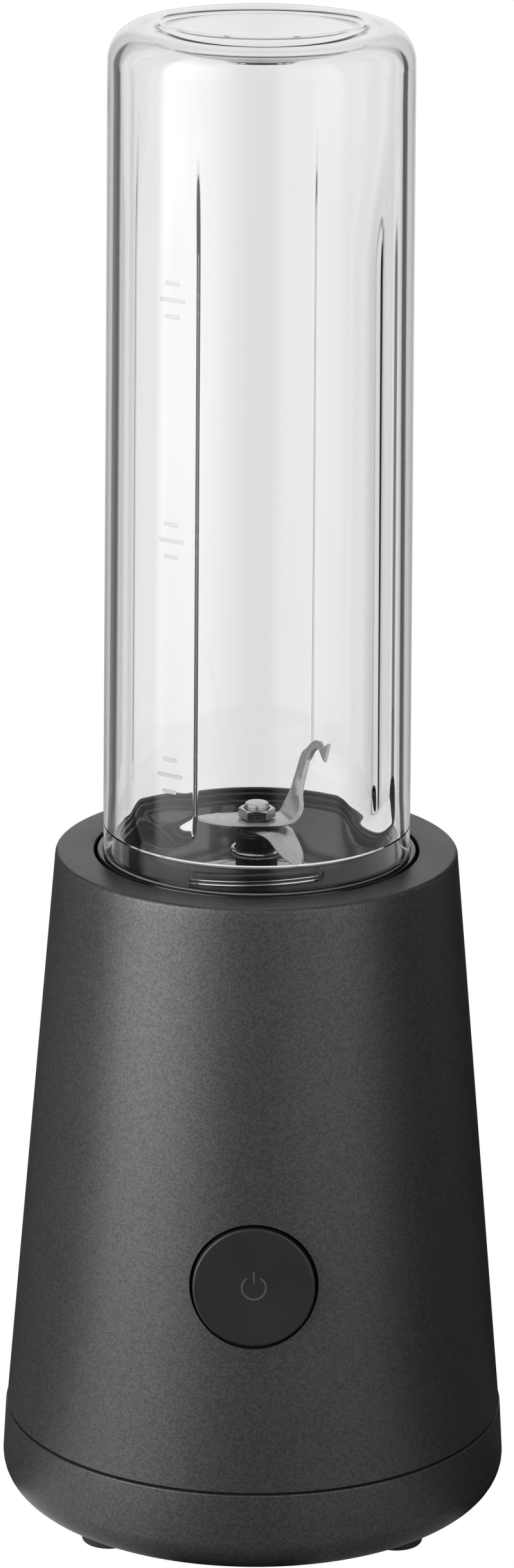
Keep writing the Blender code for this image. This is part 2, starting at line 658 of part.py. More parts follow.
def stator_outline():
    """Ring with two poles, one at each side, as an outer outline and the gap left inside."""
    ring_inner = 30.0
    neck = 9.0
    shoe_outer = 23.6
    shoe_inner = 20.2
    shoe_half = 56.0
    gap = []
    for side in (0.0, 180.0):
        neck_ring = math.degrees(math.asin(neck / ring_inner))
        neck_shoe = math.degrees(math.asin(neck / shoe_outer))
        arc = []
        steps = 10
        for step in range(steps + 1):
            arc.append((shoe_inner, -shoe_half + 2.0 * shoe_half * step / steps))
        arc = [(shoe_outer, -shoe_half)] + arc + [(shoe_outer, shoe_half)]
        arc = [(ring_inner, -neck_ring), (shoe_outer, -neck_shoe)] + arc
        arc += [(shoe_outer, neck_shoe), (ring_inner, neck_ring)]
        sweep = 180.0 - 2.0 * neck_ring
        for step in range(1, 12):
            arc.append((ring_inner, neck_ring + sweep * step / 12.0))
        for radius, azimuth in arc:
            angle = math.radians(azimuth + side)
            gap.append((radius * math.cos(angle), radius * math.sin(angle)))
    return gap


def bolt_places():
    for azimuth in (45.0, 225.0):
        angle = math.radians(azimuth)
        yield BOLT_RING * math.cos(angle), BOLT_RING * math.sin(angle)


def make_stator():
    core = finish("stator_core", rod(STATOR_RADIUS, STATOR_BOTTOM, STATOR_TOP, 40), DARK_STEEL)
    boolean(core, "stator_gap", prism(stator_outline(), STATOR_BOTTOM - 2.0, STATOR_TOP + 2.0), "DIFFERENCE")
    holes = bmesh.new()
    for x, y in bolt_places():
        rod(1.9, STATOR_BOTTOM - 3.0, STATOR_TOP + 3.0, TINY, holes, x, y)
    boolean(core, "stator_bolt_holes", holes, "DIFFERENCE")
    for name, side in (("left", -1.0), ("right", 1.0)):
        x_near, x_far = sorted((side * 22.0, side * 25.3))
        coil = finish(f"field_coil_{name}", box((x_near, -15.0, 58.4), (x_far, 15.0, 95.6)), COPPER)
        window = box((x_near - 2.0, -9.4, STATOR_BOTTOM - 0.4), (x_far + 2.0, 9.4, STATOR_TOP + 0.4))
        boolean(coil, f"coil_window_{name}", window, "DIFFERENCE")


def bracket(name, low, high, hub_low, hub_high, bearing_radius, window_ring):
    hub = bearing_radius + GAP
    profile = [(hub, hub_low), (hub + 2.6, hub_low), (hub + 2.6, low), (34.5, low), (34.5, high)]
    if hub_high > high:
        profile += [(hub + 2.6, high), (hub + 2.6, hub_high)]
    profile += [(hub, hub_high)]
    obj = finish(name, revolve(profile, 32), DARK_STEEL)
    holes = bmesh.new()
    for x, y in bolt_places():
        rod(1.9, low - 2.0, high + 2.0, TINY, holes, x, y)
    for azimuth in window_ring:
        angle = math.radians(azimuth)
        rod(5.5, low - 2.0, high + 2.0, TINY, holes, 20.5 * math.cos(angle), 20.5 * math.sin(angle))
    boolean(obj, f"{name}_holes", holes, "DIFFERENCE")


def make_motor_frame():
    bracket("motor_bracket_lower", 32.0, 34.8, 30.4, 37.0, 8.0, (0.0, 45.0, 135.0, 180.0, 225.0, 315.0))
    bracket("motor_bracket_upper", 112.0, 114.8, 107.6, 114.8, 9.5, (0.0, 120.0, 240.0))
    finish("bearing_lower", tube(SHAFT_BORE, 8.0, 31.0, 36.6), STEEL)
    finish("bearing_upper", tube(SHAFT_BORE, 9.5, 108.0, 114.2), STEEL)
    for number, (x, y) in enumerate(bolt_places(), 1):
        profile = [(0.0, 28.6), (2.8, 28.6), (2.8, 31.6), (1.5, 31.6), (1.5, 115.6), (0.0, 116.2)]
        bolt = finish(f"motor_bolt_{number}", revolve(profile, TINY), ZINC)
        bolt.location = point(x, y, 0.0)
    for number, azimuth in enumerate((60.0, 180.0, 300.0), 1):
        mount = [
            (0.0, 115.1), (5.0, 115.1), (5.0, 116.8), (3.6, 117.9), (5.0, 119.0), (5.0, 120.7), (0.0, 120.7),
        ]
        obj = finish(f"motor_mount_{number}", revolve(mount, TINY), RUBBER)
        obj.location = polar(28.0, azimuth, 0.0)


def make_brushes():
    for name, side in (("front", -1.0), ("rear", 1.0)):
        near, far = sorted((side * 11.4, side * 24.0))
        finish(f"brush_{name}", box((-3.0, near, BRUSH_Z - 3.0), (3.0, far, BRUSH_Z + 3.0)), CARBON)
        near, far = sorted((side * 14.0, side * 31.0))
        body = box((-4.6, near, BRUSH_Z - 4.6), (4.6, far, BRUSH_Z + 4.6))
        holder = finish(f"brush_holder_{name}", body, INNER)
        near, far = sorted((side * 25.0, side * 30.0))
        leg = box((-3.0, near, 35.1), (3.0, far, BRUSH_Z - 4.0))
        boolean(holder, f"brush_leg_{name}", leg, "UNION")
        near, far = sorted((side * 12.0, side * 29.5))
        channel = box((-3.3, near, BRUSH_Z - 3.3), (3.3, far, BRUSH_Z + 3.3))
        boolean(holder, f"brush_channel_{name}", channel, "DIFFERENCE")


# ---------------------------------------------------------------- controls

def make_button(parent):
    frame = button_frame()
    cap = rounded([
        (0.0, 0.6), (BUTTON_RADIUS, 0.6, 0.6), (BUTTON_RADIUS, -5.6), (17.2, -5.6), (17.2, -7.1),
        (2.5, -7.1), (2.5, BUTTON_STEM), (0.0, BUTTON_STEM),
    ], 3)
    finish("button_cap", revolve(cap, 36), BUTTON, parent, frame)
    guide = [(4.0, -12.0), (17.7, -12.0), (17.7, -6.6), (19.2, -6.6), (19.2, -13.4), (4.0, -13.4)]
    finish("button_guide", revolve(guide, 32), INNER, placement=frame)
    switch = finish("start_switch", box((-9.5, -5.0, -19.4), (9.5, 5.0, -13.7)), INNER, placement=frame)
    plunger_top = BUTTON_STEM - BUTTON_TRAVEL - 0.25
    boolean(switch, "switch_plunger", rod(1.5, -14.5, plunger_top, TINY), "UNION", frame)


def make_interlock(parent):
    top = LUG_LOW - CAM_RISE * 3.0 / TWIST_DEGREES - 0.35
    pin = [
        (0.0, 110.5), (1.9, 110.5), (1.9, 117.2), (3.6, 117.2), (3.6, 118.6), (1.9, 118.6),
        (1.9, top - 0.5), (1.4, top), (0.0, top),
    ]
    obj = finish("interlock_pin", revolve(pin, TINY), WHITE, parent)
    obj.location += point(0.0, PIN_RING, 0.0)
    body = finish("interlock_switch", box((-10.0, 34.6, 98.0), (10.0, 40.6, 108.0)), INNER)
    boolean(body, "interlock_plunger", rod(1.3, 107.0, 110.1, TINY, None, 0.0, PIN_RING), "UNION")


def make_interlock_spring(parent):
    """Coil spring of four turns round the stem of the interlock pin, with closed flat ends."""
    turns = 4
    per_turn = 10
    low = 108.8
    high = 116.5
    rings = []
    for step in range(turns * per_turn + 1):
        share = step / (turns * per_turn)
        azimuth = 360.0 * turns * share
        centre = polar(2.9, azimuth, low + (high - low) * share)
        outward = polar(1.0, azimuth, 0.0)
        upward = point(0.0, 0.0, 1.0)
        ring = []
        for corner in range(5):
            angle = math.radians(72.0 * corner)
            ring.append(centre + outward * 0.35 * math.cos(angle) + upward * 0.35 * math.sin(angle))
        rings.append(ring)
    obj = finish("interlock_spring", loft(rings), STEEL, parent)
    obj.location += point(0.0, PIN_RING, 0.0)


def make_control_board():
    board = finish("control_board", box((-18.0, 44.0, 36.1), (18.0, 45.6, 84.0)), BOARD)
    parts = bmesh.new()
    box((-15.0, 45.2, 60.0), (-3.0, 50.0, 78.0), parts)
    box((2.0, 45.2, 64.0), (14.0, 48.6, 76.0), parts)
    box((-12.0, 45.2, 42.0), (-4.0, 49.0, 54.0), parts)
    box((3.0, 45.2, 41.0), (13.0, 47.4, 56.0), parts)
    boolean(board, "board_components", parts, "UNION")


def main():
    clear_scene()
    motor_axis = empty("motor_axis", z=76.0)
    lift_axis = empty("jar_lift_axis", z=HOLDER_BOTTOM)
    twist_axis = empty("jar_twist_axis", z=HOLDER_BOTTOM, parent=lift_axis)
    blade_axis = empty("blade_axis", z=HOLDER_BOTTOM, parent=lift_axis)
    cup_axis = empty("cup_axis", z=CUP_RIM, parent=twist_axis)
    pin_axis = empty("interlock_axis", y=PIN_RING, z=118.0)
    button_axis = empty("button_axis", y=-wall_radius(BUTTON_Z), z=BUTTON_Z)

    make_base_pan()
    make_feet()
    make_base_screws()
    make_cord_inlet()
    make_housing()
    make_locking_collar()
    make_splash_seal()
    make_collar_screws()

    make_blade_holder(twist_axis)
    make_bearing_group(lift_axis)
    make_rotor(blade_axis)
    finish("cup_gasket", tube(35.3, 37.9, 169.9, 171.0, ROUND), SEAL, cup_axis)
    make_cup(cup_axis)

    make_armature(motor_axis)
    make_stator()
    make_motor_frame()
    make_brushes()
    make_button(button_axis)
    make_interlock(pin_axis)
    make_interlock_spring(pin_axis)
    make_control_board()


main()
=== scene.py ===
"""Finished look of the personal blender: fine shells, clear cup, steel blades, materials and studio."""

import math

import bmesh
import bpy
from mathutils import Matrix, Vector


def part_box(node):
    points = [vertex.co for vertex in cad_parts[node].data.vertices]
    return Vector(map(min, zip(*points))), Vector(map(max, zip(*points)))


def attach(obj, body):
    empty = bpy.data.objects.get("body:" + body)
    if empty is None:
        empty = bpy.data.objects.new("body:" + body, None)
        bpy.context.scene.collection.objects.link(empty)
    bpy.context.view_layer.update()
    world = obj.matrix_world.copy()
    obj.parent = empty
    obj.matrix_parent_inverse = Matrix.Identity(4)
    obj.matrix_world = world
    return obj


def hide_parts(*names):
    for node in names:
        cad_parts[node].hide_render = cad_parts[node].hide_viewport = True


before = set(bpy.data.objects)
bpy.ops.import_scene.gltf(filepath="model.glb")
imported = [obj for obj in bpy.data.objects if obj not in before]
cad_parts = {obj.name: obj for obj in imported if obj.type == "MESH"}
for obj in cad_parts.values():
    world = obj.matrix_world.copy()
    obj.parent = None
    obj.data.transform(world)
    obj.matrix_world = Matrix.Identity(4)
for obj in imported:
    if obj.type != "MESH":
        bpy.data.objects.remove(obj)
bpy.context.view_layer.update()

MM = 0.001


# ---------------------------------------------------------------- sizes read from the frame

def span(node):
    """Lowest and highest corner of a CAD node in millimetres."""
    low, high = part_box(node)
    return Vector(low) / MM, Vector(high) / MM


PAN_LOW, PAN_HIGH = span("base_pan")
HOUSING_LOW, HOUSING_HIGH = span("housing")
HOLDER_HIGH = span("blade_holder")[1]
CUP_LOW, CUP_HIGH = span("cup")
COLLAR_LOW, COLLAR_HIGH = span("locking_collar")
FOOT_LOW, FOOT_HIGH = span("foot_4")
SHAFT_LOW, SHAFT_HIGH = span("blade_shaft")
BUSH_LOW = span("blade_bearing")[0]
GLAND_LOW, GLAND_HIGH = span("cord_gland")
NUT_LOW, NUT_HIGH = span("blade_nut")

BASE_RADIUS = PAN_HIGH.x
PAN_BOTTOM = PAN_LOW.z
PAN_FLOOR = PAN_BOTTOM + 2.8
PAN_EDGE = 8.0
SEAM_Z = HOUSING_LOW.z
PAN_TOP_RADIUS = BASE_RADIUS - 0.8
HOUSING_BOTTOM_RADIUS = HOUSING_HIGH.x
HOUSING_TOP_RADIUS = 50.0
HOUSING_TOP = HOUSING_HIGH.z
WELL_RADIUS = 40.4
WELL_FLOOR = COLLAR_LOW.z + 3.0
DRIVE_HOLE = 14.0
HOUSING_WALL = 2.6
FLANGE_RADIUS = HOLDER_HIGH.x
FLANGE_TOP = HOUSING_TOP
HOLDER_LOW_Z = 142.0
BOWL_FLOOR = 158.0
THREAD_TOP = HOLDER_HIGH.z
CUP_RIM = CUP_LOW.z
CUP_TOP = CUP_HIGH.z
CUP_RIM_RADIUS = CUP_HIGH.x
CUP_TOP_RADIUS = CUP_RIM_RADIUS - 1.3
CUP_WALL = 3.0
SHAFT_BORE = 3.3        # radius of the holes round the blade shaft
THREAD_LEAD = 9.0
THREAD_STARTS = 3
THREAD_AZIMUTH = 30.0   # middle of the first start
HOLDER_THREAD_Z = 175.05
CUP_THREAD_Z = 173.45
GLAND_Z = (GLAND_LOW.z + GLAND_HIGH.z) / 2.0
FOOT_SPREAD = (FOOT_LOW.x + FOOT_HIGH.x) / 2.0
POST_RADIUS = 5.0       # of the posts that the pan screws join
VENT_SLOTS = 12
BUTTON_Z = 77.0
BUTTON_HOLE_RADIUS = 15.8
BUTTON_RADIUS = 15.0
FRONT = -90.0           # azimuth of the front of the blender

FINE = 192              # segments of the large shells
MEDIUM = 96
SMALL = 48


# ---------------------------------------------------------------- mesh helpers

def point(x, y, z):
    return Vector((x * MM, y * MM, z * MM))


def polar(radius, degrees, z):
    angle = math.radians(degrees)
    return point(radius * math.cos(angle), radius * math.sin(angle), z)


def pan_screw_places():
    """(x, y) of the four screws that hold the base pan."""
    angles = [math.radians(azimuth) for azimuth in (12.0, 168.0, 192.0, 348.0)]
    return [(55.0 * math.cos(angle), 55.0 * math.sin(angle)) for angle in angles]


def collar_screw_places():
    """(x, y) of the three screws that hold the locking collar."""
    places = [polar(45.4, azimuth, 0.0) / MM for azimuth in (30.0, 150.0, 270.0)]
    return [(place.x, place.y) for place in places]


def smoothstep(low, high, value):
    """S-curve from 0 to 1. It falls instead where low is above high."""
    share = min(1.0, max(0.0, (value - low) / (high - low)))
    return share * share * (3.0 - 2.0 * share)


def ramp(low, high, value):
    """Straight slope from 0 to 1 with a soft bend at each end."""
    share = min(1.0, max(0.0, (value - low) / (high - low)))
    if share > 0.5:
        return 1.0 - ramp(0.0, 1.0, 1.0 - share)
    return 3.125 * share * share if share < 0.2 else 0.125 + 1.25 * (share - 0.2)


def make_object(name, bm, mat, sharp=32.0):
    """Object from a bmesh, smooth except along edges sharper than the angle."""
    bmesh.ops.recalc_face_normals(bm, faces=bm.faces)
    mesh = bpy.data.meshes.new(name)
    bm.to_mesh(mesh)
    bm.free()
    mesh.materials.append(mat)
    mesh.shade_smooth()
    mesh.set_sharp_from_angle(angle=math.radians(sharp))
    obj = bpy.data.objects.new(name, mesh)
    bpy.context.scene.collection.objects.link(obj)
    return obj


def piece(name, bm, mat, body, nodes=(), sharp=32.0, placement=None, cuts=(), joins=()):
    """Finished piece that rides on a body and stands for nodes. Cuts and joins are (mesh, placement)."""
    obj = make_object(name, bm, mat, sharp)
    for operation, tools in (("UNION", joins), ("DIFFERENCE", cuts)):
        for tool_bm, tool_place in tools:
            apply_boolean(obj, tool_bm, tool_place, operation)
    if joins or cuts:
        obj.data.shade_smooth()
        obj.data.set_sharp_from_angle(angle=math.radians(sharp))
    if placement is not None:
        obj.matrix_world = placement
    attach(obj, body)
    if nodes:
        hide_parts(*nodes)
    return obj


def apply_boolean(obj, tool_bm, tool_place, operation):
    """Join or cut a tool mesh and keep the result as the object's own mesh."""
    tool = make_object("tool", tool_bm, obj.data.materials[0])
    if tool_place is not None:
        tool.matrix_world = tool_place
    modifier = obj.modifiers.new("cut", "BOOLEAN")
    modifier.operation = operation
    modifier.solver = "EXACT"
    modifier.object = tool
    bpy.context.view_layer.update()
    graph = bpy.context.evaluated_depsgraph_get()
    mesh = bpy.data.meshes.new_from_object(obj.evaluated_get(graph))
    obj.modifiers.clear()
    old = obj.data
    obj.data = mesh
    bpy.data.meshes.remove(old)
    bpy.data.objects.remove(tool, do_unlink=True)


def revolve(profile, segments=FINE, bm=None, x=0.0, y=0.0, closed=None):
    """Spin a (radius, z) profile. It is closed into a ring unless it starts on the axis."""
    bm = bm or bmesh.new()
    ring_shape = profile[0][0] > 1e-6 if closed is None else closed
    columns = []
    for i in range(segments):
        angle = math.tau * i / segments
        column = []
        for r, z in profile:
            if r <= 1e-6 and i > 0:
                column.append(columns[0][len(column)])
            else:
                column.append(bm.verts.new(point(x + r * math.cos(angle), y + r * math.sin(angle), z)))
        columns.append(column)
    count = len(profile)
    for i in range(segments):
        a, b = columns[i], columns[(i + 1) % segments]
        for j in range(count if ring_shape else count - 1):
            k = (j + 1) % count
            corners = []
            for vert in (a[j], b[j], b[k], a[k]):
                if vert not in corners:
                    corners.append(vert)
            if len(corners) > 2:
                bm.faces.new(corners)
    return bm


def fillet(before, corner, after, radius, steps):
    """Points of the arc that rounds one corner of a profile."""
    a = (Vector(before) - Vector(corner)).normalized()
    b = (Vector(after) - Vector(corner)).normalized()
    half = a.angle(b) / 2.0
    reach = radius / math.tan(half)
    centre = Vector(corner) + (a + b).normalized() * radius / math.sin(half)
    first = Vector(corner) + a * reach - centre
    last = Vector(corner) + b * reach - centre
    turn = first.angle_signed(last)
    return [tuple(centre + Matrix.Rotation(-turn * s / steps, 2) @ first) for s in range(steps + 1)]


def rounded(corners, steps=5):
    """Profile from (r, z) or (r, z, radius) corners."""
    profile = []
    for index, corner in enumerate(corners):
        if len(corner) == 2:
            profile.append(corner)
            continue
        before = corners[index - 1][:2]
        after = corners[(index + 1) % len(corners)][:2]
        profile += fillet(before, corner[:2], after, corner[2], steps)
    return profile


def between(start, end, steps):
    """Points between two profile points, so that long walls have many rows."""
    a, b = Vector(start), Vector(end)
    return [tuple(a.lerp(b, s / steps)) for s in range(1, steps)]


def rod(radius, low, high, segments=SMALL, bm=None, x=0.0, y=0.0):
    """Upright cylinder between two heights."""
    return revolve([(0.0, low), (radius, low), (radius, high), (0.0, high)], segments, bm, x, y)


def box(low, high, bm=None, turn=0.0):
    """Block between two corners, turned about the Z axis."""
    bm = bm or bmesh.new()
    corner = point(*low)
    size = point(*high) - corner
    place = Matrix.Rotation(math.radians(turn), 4, "Z")
    place = place @ Matrix.Translation(corner + size / 2.0) @ Matrix.Diagonal((*size, 1.0))
    bmesh.ops.create_cube(bm, size=1.0, matrix=place)
    return bm


def loft(rings, bm=None, ends=True):
    """Skin rings of equal length and close the two ends."""
    bm = bm or bmesh.new()
    made = [[bm.verts.new(p) for p in ring] for ring in rings]
    count = len(made[0])
    for ring, following in zip(made, made[1:]):
        for i in range(count):
            j = (i + 1) % count
            bm.faces.new((ring[i], ring[j], following[j], following[i]))
    if ends:
        bm.faces.new(made[0])
        bm.faces.new(made[-1])
    return bm


def arc_block(first, last, start, end, steps, bm=None):
    """Sweep a (radius, z) section about the Z axis while it changes from first to last."""
    rings = []
    for step in range(steps + 1):
        share = step / steps
        azimuth = start + (end - start) * share
        rings.append([polar(r0 + (r1 - r0) * share, azimuth, z0 + (z1 - z0) * share)
                      for (r0, z0), (r1, z1) in zip(first, last)])
    return loft(rings, bm)


def wall_radius(z):
    """Outer radius of the tapered housing at a height."""
    share = (z - SEAM_Z) / (HOUSING_TOP - SEAM_Z)
    return HOUSING_BOTTOM_RADIUS + (HOUSING_TOP_RADIUS - HOUSING_BOTTOM_RADIUS) * share


def button_frame():
    """Placement whose +Z is the outward normal of the front wall at the button."""
    slope = math.atan2(HOUSING_BOTTOM_RADIUS - HOUSING_TOP_RADIUS, HOUSING_TOP - SEAM_Z)
    turn = Matrix.Rotation(math.radians(90.0) - slope, 4, "X")
    return Matrix.Translation(point(0.0, -wall_radius(BUTTON_Z), BUTTON_Z)) @ turn


def inlet_frame():
    """Placement whose +Z runs backwards through the cord inlet."""
    return Matrix.Translation(point(0.0, 0.0, GLAND_Z)) @ Matrix.Rotation(math.radians(-90.0), 4, "X")


def thread_ridges(section, middle, azimuth, bm):
    """Starts of a right-hand thread with faded ends, each 56 degrees long."""
    half = 28.0
    steps = 28
    root = section[0][0]
    for start in range(THREAD_STARTS):
        centre = azimuth + 360.0 / THREAD_STARTS * start
        rings = []
        for step in range(steps + 1):
            offset = -half + 2.0 * half * step / steps
            fade = smoothstep(half, half - 6.0, abs(offset)) * 0.97 + 0.03
            climb = THREAD_LEAD * offset / 360.0
            rings.append([
                polar(root + (r - root) * fade, centre + offset, middle + climb + dz) for r, dz in section
            ])
        loft(rings, bm)


# ---------------------------------------------------------------- materials

def new_material(name):
    mat = bpy.data.materials.new(name)
    mat.use_nodes = True
    tree = mat.node_tree
    return mat, tree, tree.nodes["Principled BSDF"]


def texture_space(tree):
    return tree.nodes.new("ShaderNodeTexCoord").outputs["Object"]


def noise(tree, space, scale, detail=2.0, roughness=0.5, stretch=None):
    """Noise in object space. The scale counts features per metre."""
    if stretch:
        mapping = tree.nodes.new("ShaderNodeMapping")
        mapping.inputs["Scale"].default_value = stretch
        tree.links.new(space, mapping.inputs["Vector"])
        space = mapping.outputs["Vector"]
    node = tree.nodes.new("ShaderNodeTexNoise")
    node.inputs["Scale"].default_value = scale
    node.inputs["Detail"].default_value = detail
    node.inputs["Roughness"].default_value = roughness
    tree.links.new(space, node.inputs["Vector"])
    return node.outputs["Fac"]


def remap(tree, value, low, high, from_low=0.3, from_high=0.7):
    """Value between low and high, as the input goes from from_low to from_high."""
    node = tree.nodes.new("ShaderNodeMapRange")
    node.inputs["From Min"].default_value = from_low
    node.inputs["From Max"].default_value = from_high
    node.inputs["To Min"].default_value = low
    node.inputs["To Max"].default_value = high
    tree.links.new(value, node.inputs["Value"])
    return node.outputs["Result"]


def two_tone(tree, value, dark, light):
    """Colour that goes from dark to light over the middle of the value's range."""
    colours = tree.nodes.new("ShaderNodeValToRGB")
    first, last = colours.color_ramp.elements
    first.position, last.position = 0.35, 0.65
    first.color = (*dark, 1.0)
    last.color = (*light, 1.0)
    tree.links.new(value, colours.inputs["Fac"])
    return colours.outputs["Color"]


def bump(tree, shader, height, strength, distance):
    node = tree.nodes.new("ShaderNodeBump")
    node.inputs["Strength"].default_value = strength
    node.inputs["Distance"].default_value = distance
    tree.links.new(height, node.inputs["Height"])
    tree.links.new(node.outputs["Normal"], shader.inputs["Normal"])


def plastic(name, dark, light, rough, grain=1400.0, grain_depth=0.00002, metallic=0.0, coat=0.0):
    """Moulded plastic with a fine grain and small colour and gloss variation."""
    mat, tree, shader = new_material(name)
    space = texture_space(tree)
    fine = noise(tree, space, grain, 3.0, 0.6)
    broad = noise(tree, space, 45.0, 3.0)
    tree.links.new(two_tone(tree, fine, dark, light), shader.inputs["Base Color"])
    tree.links.new(remap(tree, broad, rough - 0.03, rough + 0.04), shader.inputs["Roughness"])
    shader.inputs["Metallic"].default_value = metallic
    shader.inputs["Coat Weight"].default_value = coat
    shader.inputs["Coat Roughness"].default_value = 0.08
    bump(tree, shader, fine, 0.35, grain_depth)
    return mat


def metal(name, dark, light, rough, stretch=(1.0, 1.0, 1.0), grain=900.0, depth=0.25):
    """Metal with fine drawn or ground lines, finest along the axis that stretches most."""
    mat, tree, shader = new_material(name)
    space = texture_space(tree)
    lines = noise(tree, space, grain, 4.0, 0.6, stretch)
    tree.links.new(two_tone(tree, lines, dark, light), shader.inputs["Base Color"])
    tree.links.new(remap(tree, lines, rough - 0.07, rough + 0.08), shader.inputs["Roughness"])
    shader.inputs["Metallic"].default_value = 1.0
    if depth:
        bump(tree, shader, lines, depth, 0.00001)
    return mat


def clear_plastic():
    """Polished clear copolyester with a faint grey body tint and a slightly uneven surface."""
    mat, tree, shader = new_material("clear_copolyester")
    shader.inputs["Base Color"].default_value = (0.99, 0.99, 0.99, 1.0)
    shader.inputs["Transmission Weight"].default_value = 1.0
    shader.inputs["Specular Tint"].default_value = (0.72, 0.72, 0.72, 1.0)
    shader.inputs["IOR"].default_value = 1.5
    shader.inputs["Roughness"].default_value = 0.0
    space = texture_space(tree)
    flow = noise(tree, space, 30.0, 2.0, 0.5, (1.0, 1.0, 0.12))
    bump(tree, shader, flow, 0.25, 0.00005)
    volume = tree.nodes.new("ShaderNodeVolumeAbsorption")
    volume.inputs["Color"].default_value = (0.80, 0.80, 0.80, 1.0)
    volume.inputs["Density"].default_value = 40.0
    tree.links.new(volume.outputs["Volume"], tree.nodes["Material Output"].inputs["Volume"])
    return mat


def frosted_mark():
    """Slightly frosted raised marks on the clear cup."""
    mat, tree, shader = new_material("frosted_mark")
    shader.inputs["Base Color"].default_value = (0.95, 0.96, 0.96, 1.0)
    shader.inputs["Transmission Weight"].default_value = 0.85
    shader.inputs["IOR"].default_value = 1.45
    grain = noise(tree, texture_space(tree), 3000.0, 2.0)
    tree.links.new(remap(tree, grain, 0.3, 0.55), shader.inputs["Roughness"])
    return mat


def winding_wire():
    """Varnished copper wire, laid in fine rings round each coil."""
    mat, tree, shader = new_material("winding_wire")
    space = texture_space(tree)
    wave = tree.nodes.new("ShaderNodeTexWave")
    wave.bands_direction = "Z"
    wave.inputs["Scale"].default_value = 260.0
    wave.inputs["Distortion"].default_value = 1.2
    tree.links.new(space, wave.inputs["Vector"])
    tree.links.new(two_tone(tree, wave.outputs["Fac"], (0.35, 0.10, 0.03), (0.78, 0.34, 0.16)),
                   shader.inputs["Base Color"])
    shader.inputs["Metallic"].default_value = 0.9
    shader.inputs["Roughness"].default_value = 0.32
    bump(tree, shader, wave.outputs["Fac"], 0.8, 0.0002)
    return mat


def laminations():
    """Stacked thin steel sheets with a line at each joint."""
    mat, tree, shader = new_material("steel_laminations")
    wave = tree.nodes.new("ShaderNodeTexWave")
    wave.bands_direction = "Z"
    wave.inputs["Scale"].default_value = 320.0
    tree.links.new(texture_space(tree), wave.inputs["Vector"])
    tree.links.new(two_tone(tree, wave.outputs["Fac"], (0.12, 0.12, 0.13), (0.32, 0.32, 0.34)),
                   shader.inputs["Base Color"])
    shader.inputs["Metallic"].default_value = 0.85
    shader.inputs["Roughness"].default_value = 0.42
    bump(tree, shader, wave.outputs["Fac"], 0.6, 0.0001)
    return mat


def rubber(name, dark, light, rough):
    mat, tree, shader = new_material(name)
    space = texture_space(tree)
    fine = noise(tree, space, 2600.0, 2.0)
    tree.links.new(two_tone(tree, fine, dark, light), shader.inputs["Base Color"])
    shader.inputs["Roughness"].default_value = rough
    shader.inputs["Specular IOR Level"].default_value = 0.35
    bump(tree, shader, fine, 0.5, 0.00004)
    return mat


def shell_paint():
    """Anthracite shell: dark matte coat with fine metal flakes that shimmer in soft light."""
    mat, tree, shader = new_material("anthracite_paint")
    space = texture_space(tree)
    flakes = tree.nodes.new("ShaderNodeTexVoronoi")
    flakes.inputs["Scale"].default_value = 2600.0
    tree.links.new(space, flakes.inputs["Vector"])
    speck = tree.nodes.new("ShaderNodeSeparateColor")
    tree.links.new(flakes.outputs["Color"], speck.inputs["Color"])
    tree.links.new(two_tone(tree, speck.outputs["Red"], (0.042, 0.042, 0.042), (0.066, 0.066, 0.066)),
                   shader.inputs["Base Color"])
    broad = noise(tree, space, 30.0, 3.0)
    tree.links.new(remap(tree, broad, 0.37, 0.42), shader.inputs["Roughness"])
    shader.inputs["Metallic"].default_value = 0.5
    shader.inputs["Specular IOR Level"].default_value = 0.6
    bump(tree, shader, speck.outputs["Green"], 0.25, 0.00003)
    return mat


SHELL = shell_paint()
BUTTON = plastic("button_soft_black", (0.010, 0.010, 0.010), (0.014, 0.014, 0.014), 0.40, 2200.0)
ICON = plastic("button_icon", (0.05, 0.05, 0.052), (0.07, 0.07, 0.072), 0.45)
GLOSS_BLACK = plastic("holder_gloss_black", (0.004, 0.004, 0.004), (0.006, 0.006, 0.006), 0.07, 900.0,
                      0.000001)
BOWL_LINING = metal("bowl_polish", (0.40, 0.40, 0.40), (0.46, 0.46, 0.46), 0.08, (1.0, 1.0, 14.0), 260.0,
                    0.0)
SATIN_BLACK = plastic("well_satin_black", (0.010, 0.010, 0.011), (0.015, 0.015, 0.016), 0.36)
INNER = plastic("inner_moulding", (0.030, 0.030, 0.032), (0.045, 0.045, 0.047), 0.52)
NYLON = plastic("coupling_nylon", (0.62, 0.61, 0.57), (0.72, 0.71, 0.68), 0.42, 600.0)
BOARD = plastic("board_lacquer", (0.012, 0.09, 0.035), (0.02, 0.14, 0.055), 0.35, 700.0, coat=0.5)
CARBON = plastic("pressed_carbon", (0.02, 0.02, 0.022), (0.05, 0.05, 0.055), 0.6, 1800.0)
BLADE = metal("blade_steel", (0.46, 0.46, 0.47), (0.62, 0.62, 0.63), 0.30, (1.0, 7.0, 1.0))
STEEL = metal("turned_steel", (0.52, 0.52, 0.53), (0.72, 0.72, 0.73), 0.20, (1.0, 1.0, 8.0))
ZINC = metal("zinc_plating", (0.44, 0.45, 0.47), (0.62, 0.63, 0.65), 0.28)
COPPER = winding_wire()
BARS = metal("commutator_copper", (0.55, 0.24, 0.11), (0.80, 0.42, 0.24), 0.25, (1.0, 1.0, 6.0))
LAMINATIONS = laminations()
FOOT_RUBBER = rubber("foot_rubber", (0.010, 0.010, 0.010), (0.020, 0.020, 0.020), 0.75)
SEAL = rubber("silicone_seal_grey", (0.16, 0.165, 0.17), (0.21, 0.215, 0.22), 0.5)
CLEAR = clear_plastic()
FROST = frosted_mark()


# ---------------------------------------------------------------- camera

